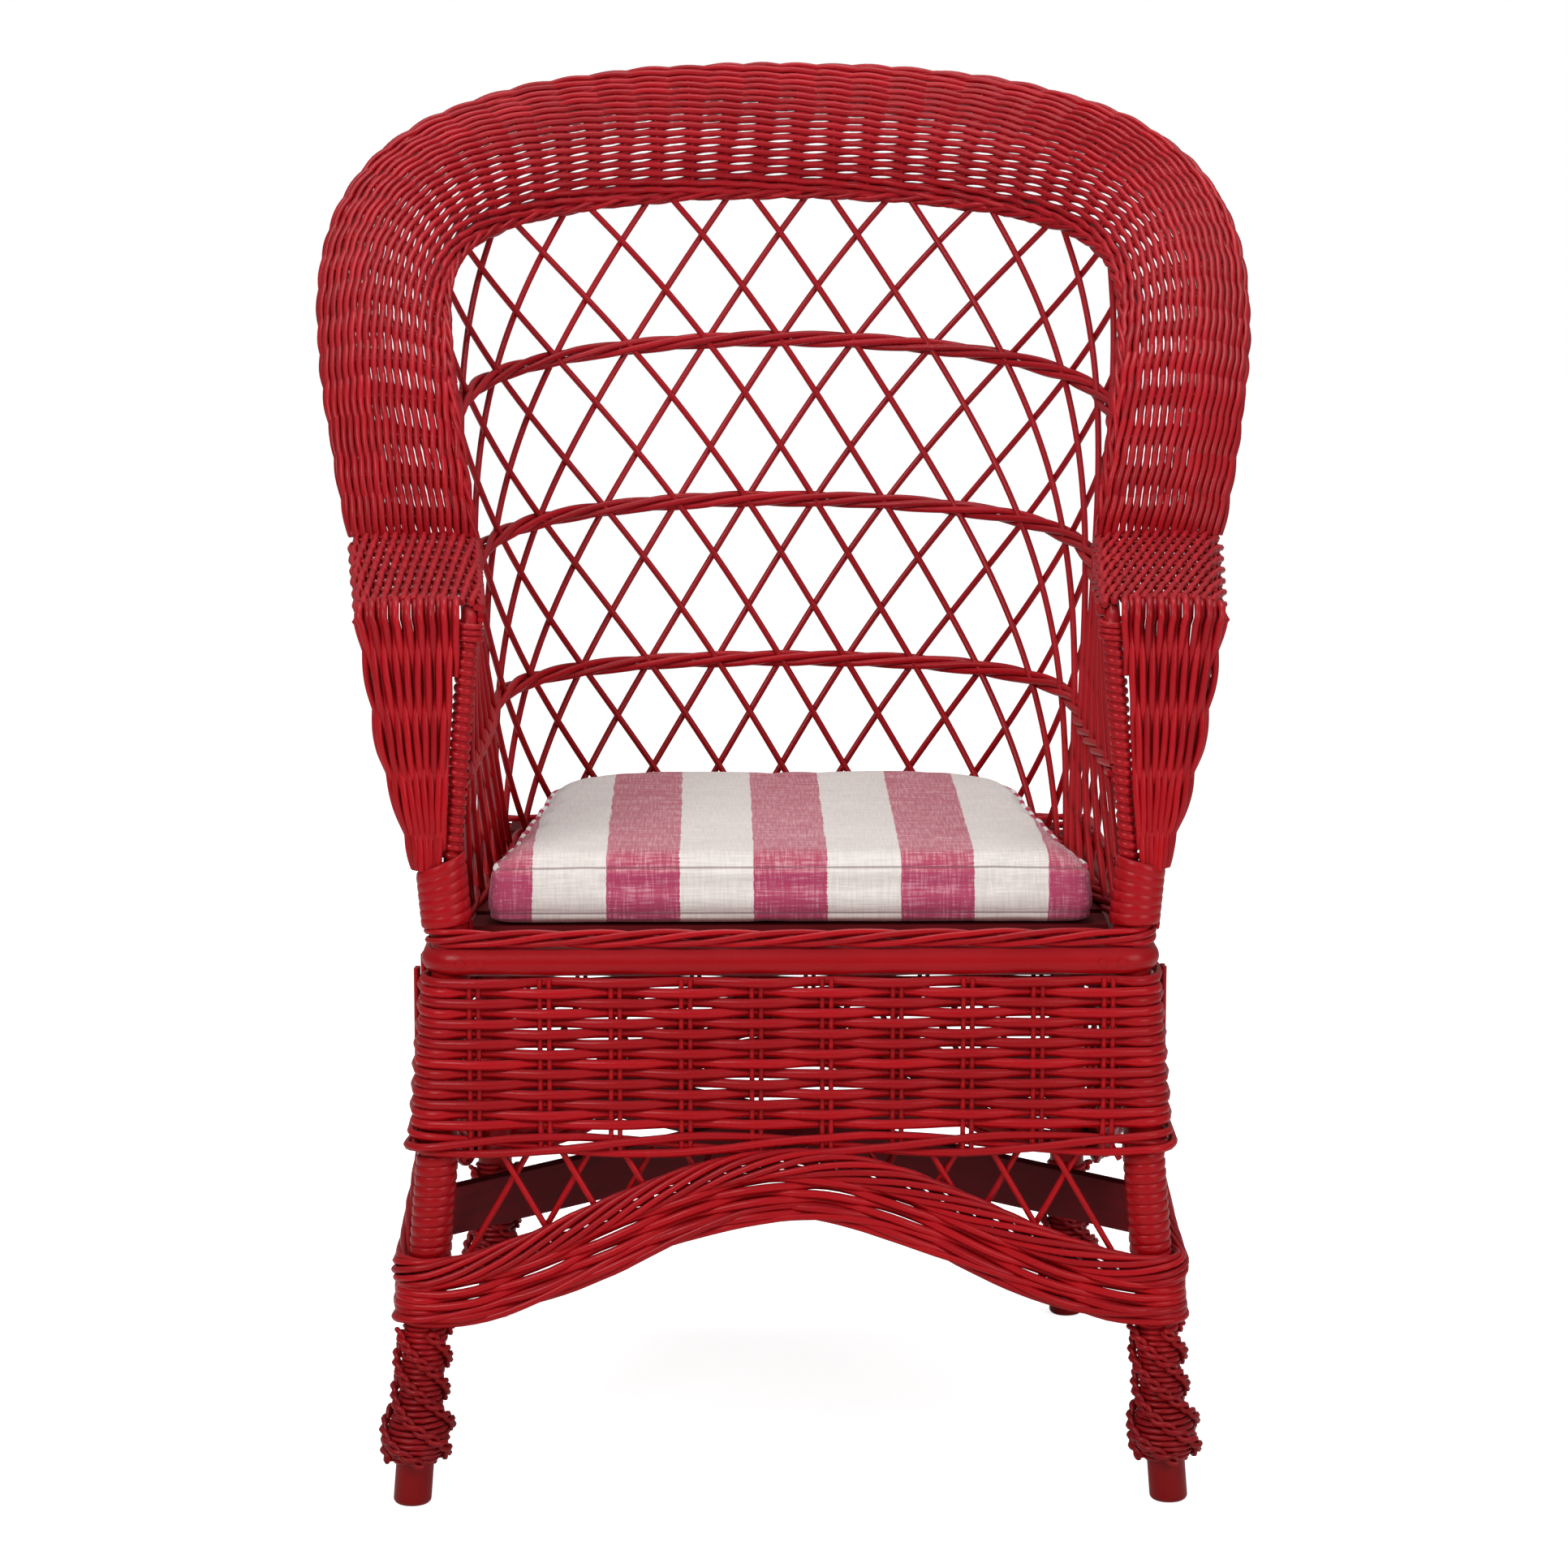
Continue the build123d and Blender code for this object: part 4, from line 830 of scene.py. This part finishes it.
def on_line(z, lower, upper):
    """x at a height on the line between two (x, z) corners."""
    return lower[0] + (upper[0] - lower[0]) * (z - lower[1]) / (upper[1] - lower[1])


for side, name in ((-1, "left"), (1, "right")):
    rear = inner_rim(side * 90) - home
    rear = Vector((abs(rear.x), rear.y, rear.z))
    front = Vector((STILE_X, STILE_Y, ARM_FRONT))

    def placed(x, y, z):
        return home + Vector((side * x, y, z))

    stations = []
    for stop in range(ARM_BEATS * PER_BEAT + 1):
        share = stop / (ARM_BEATS * PER_BEAT) * 0.985
        point = rear + (front - rear) * share
        width = ARM_WIDTH - ARM_TAPER * share
        start, end = placed(*point), placed(point.x + width, point.y, point.z)
        stations.append((start, end, Vector((0, 0, 1)), 0.002, *TOP_ANGLES, 0.0026))
    for step in range(1, BEND_STEPS):
        angle = radians(90 * step / BEND_STEPS)
        face = Vector((0, -sin(angle), cos(angle)))
        lower = 0.005 * (1 - cos(angle))
        start = placed(STILE_X, STILE_Y, ARM_FRONT - lower)
        end = placed(STILE_X + FRONT_WIDTH, STILE_Y, ARM_FRONT - lower)
        stations.append((start, end, face, 0.001, *FRONT_ANGLES, 0.0026))
    front_steps = FRONT_BEATS * PER_BEAT * 2
    for stop in range(front_steps + 1):
        z = FRONT_HIGH - (FRONT_HIGH - FRONT_LOW) * stop / front_steps
        low = (ARM_FRONT - z) / (ARM_FRONT - INNER_FOOT[1])
        inner_x = STILE_X + (INNER_FOOT[0] - STILE_X) * low
        if z > KNEE[1]:
            outer_x = on_line(z, KNEE, (STILE_X + FRONT_WIDTH, ARM_FRONT))
        else:
            outer_x = on_line(z, OUTER_FOOT, KNEE)
        outer_x += 0.002 * sin(pi * low)
        start, end = placed(inner_x, STILE_Y, z), placed(outer_x, STILE_Y, z)
        stations.append((start, end, Vector((0, -1, 0)), 0.0, *FRONT_ANGLES, 0.0020))
    top = stations[: ARM_BEATS * PER_BEAT + 1]
    rows = weave(top, PER_BEAT, ARM_ROWS, -DRIFT)
    sizes = {"Wave": 0.0021, "Slant": 0.0016, "Unevenness": 0.18}
    lay_reeds(f"arm_top_reeds_{name}", rows, [f"arm_top_{name}"], 51, 0.0050, 0.0046, **sizes)
    lay_reeds(f"arm_top_ribs_{name}", ribs_of(top, PER_BEAT, 12), [], 52, 0.0036)
    bend = []
    for station in stations[ARM_BEATS * PER_BEAT - 2 :]:
        bend.append(station[:4] + FRONT_ANGLES + station[6:])
    rows = weave(bend, PER_BEAT * 2, FRONT_ROWS, -DRIFT)
    sizes = {"Wave": 0.0028, "Unevenness": 0.25}
    lay_reeds(f"arm_front_reeds_{name}", rows, [f"arm_front_{name}"], 53, 0.0054, **sizes)
    edge = roped(edge_line(top[::2], 0.85, 0.5, 0.0085), 0.060)
    sizes = {"Strands": 3, "Rope Height": 0.0024, "Rope Width": 0.0032, "Unevenness": 0.15}
    lay_reeds(f"arm_inner_edge_{name}", [edge], [], 54, 0.0048, **sizes)

    wound = []
    for step in range(CANE_TURNS * TURN_STEPS + 1):
        z = CANE_HIGH - (CANE_HIGH - CANE_LOW) * step / (CANE_TURNS * TURN_STEPS)
        low = (ARM_FRONT - z) / (ARM_FRONT - INNER_FOOT[1])
        angle = 2 * pi * step / TURN_STEPS
        out = Vector((cos(angle), sin(angle), 0))
        centre = placed(STILE_X + (INNER_FOOT[0] - STILE_X) * low, STILE_Y, z)
        wound.append((centre + out * (HOOP_R + 0.0006), out, 0.0, 0.0))
    lay_reeds(f"stile_cane_{name}", [wound], [], 55, 0.0052, 0.0026, Sides=8, Unevenness=0.0)
    cap = []
    for step in range(CAP_TURNS * TURN_STEPS + 1):
        angle = 2 * pi * step / TURN_STEPS
        out = Vector((cos(angle), sin(angle), 0))
        centre = placed(STILE_X + 0.0004, STILE_Y, CAP_HIGH - CAP_PITCH * step / TURN_STEPS)
        cap.append((centre + out * (HOOP_R + 0.0024), out, 0.0, 0.0))
    lay_reeds(f"stile_cap_{name}", [cap], [], 56, 0.0046)

# --- Corner bindings ----------------------------------------------------------------------------
# Wide flat cane pulled tight round the top of each front leg and the two stile feet on it. Its
# turns tilt a little more the higher they are.

CORNER_TURNS, CORNER_STEPS = 6, 16
CORNER_LOW, CORNER_RISE, CORNER_TILT = 0.4345, 0.044, 0.006
CORNER_X, CORNER_Y = 0.0172, 0.0162  # half sizes of the bound bundle

guides = []
for side in (-1, 1):
    guide = []
    for step in range(CORNER_TURNS * CORNER_STEPS + 1):
        share = step / (CORNER_TURNS * CORNER_STEPS)
        angle = 2 * pi * step / CORNER_STEPS
        out = Vector((cos(angle), sin(angle), 0))
        z = CORNER_LOW + CORNER_RISE * share - CORNER_TILT * cos(angle) * side * share
        middle = FRONT_KNEE.x + (z - RAIL_AT) * 0.09 + 0.001
        point = home + Vector((side * middle, -HALF_DEPTH, z))
        point += Vector((out.x * CORNER_X, out.y * CORNER_Y, 0))
        guide.append((point, out, 0.0, 0.0))
    guides.append(guide)
sizes = {"Sides": 8, "Unevenness": 0.0}
lay_reeds("corner_bindings_cane", guides, ["corner_bindings"], 61, 0.0100, 0.0032, **sizes)

# --- Cushion ------------------------------------------------------------------------------------
# Loose box cushion: foam in a sewn cover of slubby linen with wide stripes from front to back,
# plain seams along the front and bias-cut piping round the sides and the back.

STRIPE = 0.0537
LINEN_DARK, LINEN_PALE, PIPING_PALE = (
    (0.60, 0.55, 0.52, 1),
    (0.75, 0.70, 0.66, 1),
    (0.80, 0.75, 0.72, 1),
)
TOP_PINK, TOP_WORN = (0.38, 0.035, 0.085, 1), (0.62, 0.28, 0.32, 1)
# Deeper pinks for the faces that stand up: painted shade.
SHADED_FRONT_PINK, SHADED_FRONT_WORN = (0.36, 0.020, 0.090, 1), (0.56, 0.20, 0.28, 1)
PIPING_PINK, PIPING_WORN = (0.33, 0.02, 0.06, 1), (0.5, 0.07, 0.12, 1)
SOILED, STITCHES = (0.30, 0.22, 0.20, 1), (0.12, 0.05, 0.06, 1)
cloth, tree, shader = finish("striped_linen")
place = tree.node("ShaderNodeTexCoord", output="Object")
facing = tree.node("ShaderNodeSeparateXYZ", {0: place.out("Normal")}, "Z")
sideways = tree.node("ShaderNodeSeparateXYZ", {0: place}, "X")
slub_long = tree.noise(tree.vector("MULTIPLY", place, (700.0, 40.0, 60.0)), 1.0, 3.0, 0.6)
slub_cross = tree.noise(tree.vector("MULTIPLY", place, (40.0, 700.0, 700.0)), 1.0, 3.0, 0.6)
blotch = tree.noise(place, 38.0, 4.0)
ragged = sideways + 0.0022 * (slub_cross - 0.5) + 0.0030 * (blotch - 0.5)
odd = tree.math("FLOORED_MODULO", tree.math("FLOOR", ragged / STRIPE + 0.5), 2.0)
threads = 0.55 * slub_cross + 0.45 * slub_long
pale_linen = tree.mix(threads.ramp(0.34, 0.66), LINEN_DARK, LINEN_PALE)
top_pink = tree.mix(threads.ramp(0.44, 0.64), TOP_PINK, TOP_WORN)
shaded_front_pink = tree.mix(threads.ramp(0.46, 0.68), SHADED_FRONT_PINK, SHADED_FRONT_WORN)
# Faces that stand up get the deeper pink, which is painted shade; the top keeps the lighter one.
pink = tree.mix(facing.ramp(0.2, 0.9), shaded_front_pink, top_pink)
colour = tree.mix(odd, pink, pale_linen)
colour = tree.mix(0.14 * blotch, colour, SOILED)
low_corner, high_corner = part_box("cushion_cover")
CUSHION_LOW, CUSHION_HIGH = low_corner[2] + 0.0005, high_corner[2]
SEAMS = (CUSHION_HIGH - 0.0045, CUSHION_LOW + 0.0090)
height = tree.node("ShaderNodeSeparateXYZ", {0: place}, "Z")
for seam in SEAMS:
    stitched = 1.0 - tree.math("ABSOLUTE", height - seam).ramp(0.0003, 0.0011)
    stitched = stitched * (1.0 - facing.ramp(0.86, 0.97))
    colour = tree.mix(0.6 * stitched, colour, STITCHES)
tree.feed(shader.inputs["Base Color"], colour)
tree.feed(shader.inputs["Roughness"], 0.86 + 0.08 * slub_long)
shader.inputs["Sheen Weight"].default_value = 0.25
shader.inputs["Sheen Roughness"].default_value = 0.5
bump = tree.node("ShaderNodeBump", {"Height": threads, "Strength": 0.5, "Distance": 0.0012})
tree.feed(shader.inputs["Normal"], bump)

FRONT_Y, REAR_Y = low_corner[1] - 0.002, high_corner[1]
FRONT_HALF, REAR_HALF = 0.2270, 0.191
FRONT_CORNER, REAR_CORNER = 0.013, 0.088
CORNER_CUTS, RIM_STEP = 12, 0.008
EDGE_INSET, EDGE_DROP = 0.003, 0.004


def cushion_plan(shrink):
    """Plan of the cushion as a closed run of points, narrower and rounder at the back."""
    front, rear = FRONT_HALF - shrink, REAR_HALF - shrink
    y0, y1 = FRONT_Y + shrink, REAR_Y - shrink
    slope = Vector((rear - front, y1 - y0)).normalized()
    right, left, down = Vector((1, 0)), Vector((-1, 0)), Vector((slope.x, -slope.y))
    corners = (
        (Vector((front, y0)), FRONT_CORNER, right, slope),
        (Vector((rear, y1)), REAR_CORNER, slope, left),
        (Vector((-rear, y1)), REAR_CORNER, left, down),
        (Vector((-front, y0)), FRONT_CORNER, down, right),
    )
    plan = []
    for corner, radius, come, go in corners:
        for step in range(CORNER_CUTS + 1):
            t = step / CORNER_CUTS
            a, b = corner - come * radius, corner + go * radius
            plan.append(a * (1 - t) ** 2 + corner * (2 * t * (1 - t)) + b * t**2)
    dense = []
    for number, point in enumerate(plan):
        after = plan[(number + 1) % len(plan)]
        count = max(1, int((after - point).length / RIM_STEP))
        dense += [point.lerp(after, step / count) for step in range(count)]
    return dense


def filled(name, shrink, low, high):
    """The closed block that the cover is puffed from."""
    rim = cushion_plan(shrink)
    block = bmesh.new()
    levels = []
    heights = (low, low + EDGE_DROP, (low + high) / 2, high - EDGE_DROP, high)
    for z in heights:
        scale = 1 - EDGE_INSET / 0.2 if z in (low, high) else 1
        levels.append([block.verts.new((p.x * scale, p.y * scale, z)) for p in rim])
    for lower, upper in zip(levels, levels[1:]):
        for number in range(len(lower)):
            after = (number + 1) % len(lower)
            block.faces.new((lower[number], lower[after], upper[after], upper[number]))
    block.faces.new(levels[-1])
    block.faces.new(list(reversed(levels[0])))
    bmesh.ops.recalc_face_normals(block, faces=block.faces)
    mesh = bpy.data.meshes.new(name)
    block.to_mesh(mesh)
    block.free()
    made = bpy.data.objects.new(name, mesh)
    bpy.context.scene.collection.objects.link(made)
    return made


def applied(thing, name):
    """A plain mesh object of what the modifiers make."""
    evaluated = thing.evaluated_get(bpy.context.evaluated_depsgraph_get())
    mesh = bpy.data.meshes.new_from_object(evaluated)
    mesh.name = name
    made = bpy.data.objects.new(name, mesh)
    bpy.context.scene.collection.objects.link(made)
    return made


block = filled("cushion_block", 0.003, CUSHION_LOW + 0.002, CUSHION_HIGH - 0.003)
remesh = block.modifiers.new("grid", "REMESH")
remesh.mode = "VOXEL"
remesh.voxel_size = 0.005
puffed = applied(block, "cushion_puffed")
bpy.data.objects.remove(block)
rest = [vert.co.copy() for vert in puffed.data.vertices]
puff = puffed.modifiers.new("puff", "CLOTH")
puff.settings.use_pressure = True
puff.settings.uniform_pressure_force = 3.5
puff.settings.tension_stiffness = 30
puff.settings.compression_stiffness = 30
puff.settings.bending_stiffness = 2.0
puff.settings.effector_weights.gravity = 0
for number in range(1, 21):
    bpy.context.scene.frame_set(number)
swollen = applied(puffed, "cushion_swollen")
bpy.data.objects.remove(puffed)
bpy.context.scene.frame_set(1)
puffed = swollen
for vert, start in zip(puffed.data.vertices, rest):
    move = vert.co - start
    cap = 0.009 if start.z > (CUSHION_LOW + CUSHION_HIGH) / 2 else 0.003
    if move.length > cap:
        vert.co = start + move * (cap / move.length)
for vert in puffed.data.vertices:
    vert.co.z = max(vert.co.z, CUSHION_LOW)
    vert.co.y = max(vert.co.y, FRONT_Y - 0.004)
    vert.co.x = max(-FRONT_HALF - 0.002, min(FRONT_HALF + 0.002, vert.co.x))
smooth = puffed.modifiers.new("even", "SMOOTH")
smooth.factor = 0.5
smooth.iterations = 3
finer = puffed.modifiers.new("finer", "SUBSURF")
finer.levels = finer.render_levels = 1
cushion = applied(puffed, "cushion_cover_cloth")
bpy.data.objects.remove(puffed)
for vert in cushion.data.vertices:
    if vert.normal.z < 0.75:
        for seam in SEAMS:
            away = abs(vert.co.z - seam)
            if away < 0.004:
                vert.co -= vert.normal * 0.0016 * (1 - away / 0.004) ** 2
cushion.data.materials.clear()
cushion.data.materials.append(cloth)
for face in cushion.data.polygons:
    face.use_smooth = True
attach(cushion, "cushion")
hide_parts("cushion_cover", "cushion_core")
piping, tree, shader = finish("bias_piping")
place = tree.node("ShaderNodeTexCoord", output="Object")
depth = tree.node("ShaderNodeSeparateXYZ", {0: place}, "Y")
along = depth + 0.5 * tree.node("ShaderNodeSeparateXYZ", {0: place}, "X")
dash = tree.math("FLOORED_MODULO", tree.math("FLOOR", along / 0.016), 2.0)
twill = tree.noise(place, 900.0, 2.0)
pale = tree.mix(twill, LINEN_DARK, PIPING_PALE)
pink = tree.mix(twill, PIPING_PINK, PIPING_WORN)
tree.feed(shader.inputs["Base Color"], tree.mix(dash, pink, pale))
tree.feed(shader.inputs["Roughness"], 0.85 + 0.1 * twill)
edge = [point for point in cushion_plan(0.0035) if point.y > FRONT_Y + 0.012]
surface = BVHTree.FromPolygons(
    [vert.co for vert in cushion.data.vertices], [face.vertices for face in cushion.data.polygons]
)
cord = []
for before, here, after in zip(edge, edge[1:], edge[2:]):
    out = Vector((after.y - before.y, before.x - after.x, 0)).normalized()
    start = Vector((here.x, here.y, SEAMS[0])) + out * 0.03
    place = surface.ray_cast(start, -out)[0]
    if place:
        cord.append((place + out * 0.0008, out, 0.0, 0.0))
wears = {"paint": piping, "body": "cushion", "slot": "cover_fabric"}
lay_reeds("cushion_piping", [cord], [], 71, 0.0048, Sides=8, **wears)

# --- Floor, light and camera --------------------------------------------------------------------
# A plain pale floor under a white sky, three large soft lights, and the camera in front.

floor_mesh = bpy.data.meshes.new("floor")
floor_mesh.from_pydata([(-9, -9, 0), (9, -9, 0), (9, 9, 0), (-9, 9, 0)], [], [(0, 1, 2, 3)])
floor = bpy.data.objects.new("floor", floor_mesh)
bpy.context.scene.collection.objects.link(floor)
pale, tree, shader = finish("pale_floor")
shader.inputs["Base Color"].default_value = (0.90, 0.90, 0.91, 1)
shader.inputs["Roughness"].default_value = 0.8
seen = tree.node("ShaderNodeLightPath")
tree.feed(shader.inputs["Emission Color"], tree.mix(seen, (0, 0, 0, 1), (1, 1, 1, 1)))
shader.inputs["Emission Strength"].default_value = 0.8
floor_mesh.materials.append(pale)

world = bpy.data.worlds.new("studio")
bpy.context.scene.world = world
world.use_nodes = True
sky = Flow(world.node_tree)
seen = sky.node("ShaderNodeLightPath")
background = world.node_tree.nodes["Background"]
background.inputs["Color"].default_value = (1.0, 1.0, 1.0, 1)
sky.feed(background.inputs["Strength"], 0.22 + 0.78 * seen)
bpy.context.scene.view_settings.view_transform = "Standard"
for name, place, aim, size, power in (
    ("key", (-1.7, -2.6, 2.6), (0, 0, 0.5), 1.4, 76),
    ("fill", (2.2, -2.6, 1.6), (0, 0, 0.4), 1.8, 46),
    ("top", (0.2, 0.2, 3.2), (0, 0, 0.5), 1.6, 40),
):
    lamp = bpy.data.lights.new(name, "AREA")
    lamp.size = size
    lamp.energy = power
    light = bpy.data.objects.new(name, lamp)
    light.location = place
    light.rotation_euler = (Vector(aim) - Vector(place)).to_track_quat("-Z", "Y").to_euler()
    bpy.context.scene.collection.objects.link(light)

lens = bpy.data.cameras.new("camera")
lens.lens = 109.73
lens.sensor_width = 36
lens.shift_x = -2 / 1932
camera = bpy.data.objects.new("camera", lens)
camera.location = home + Vector((-0.0573, -3.6495, 1.1143))
camera.rotation_euler = (radians(90 - 9.627), 0, -radians(0.9))
bpy.context.scene.collection.objects.link(camera)
bpy.context.scene.camera = camera
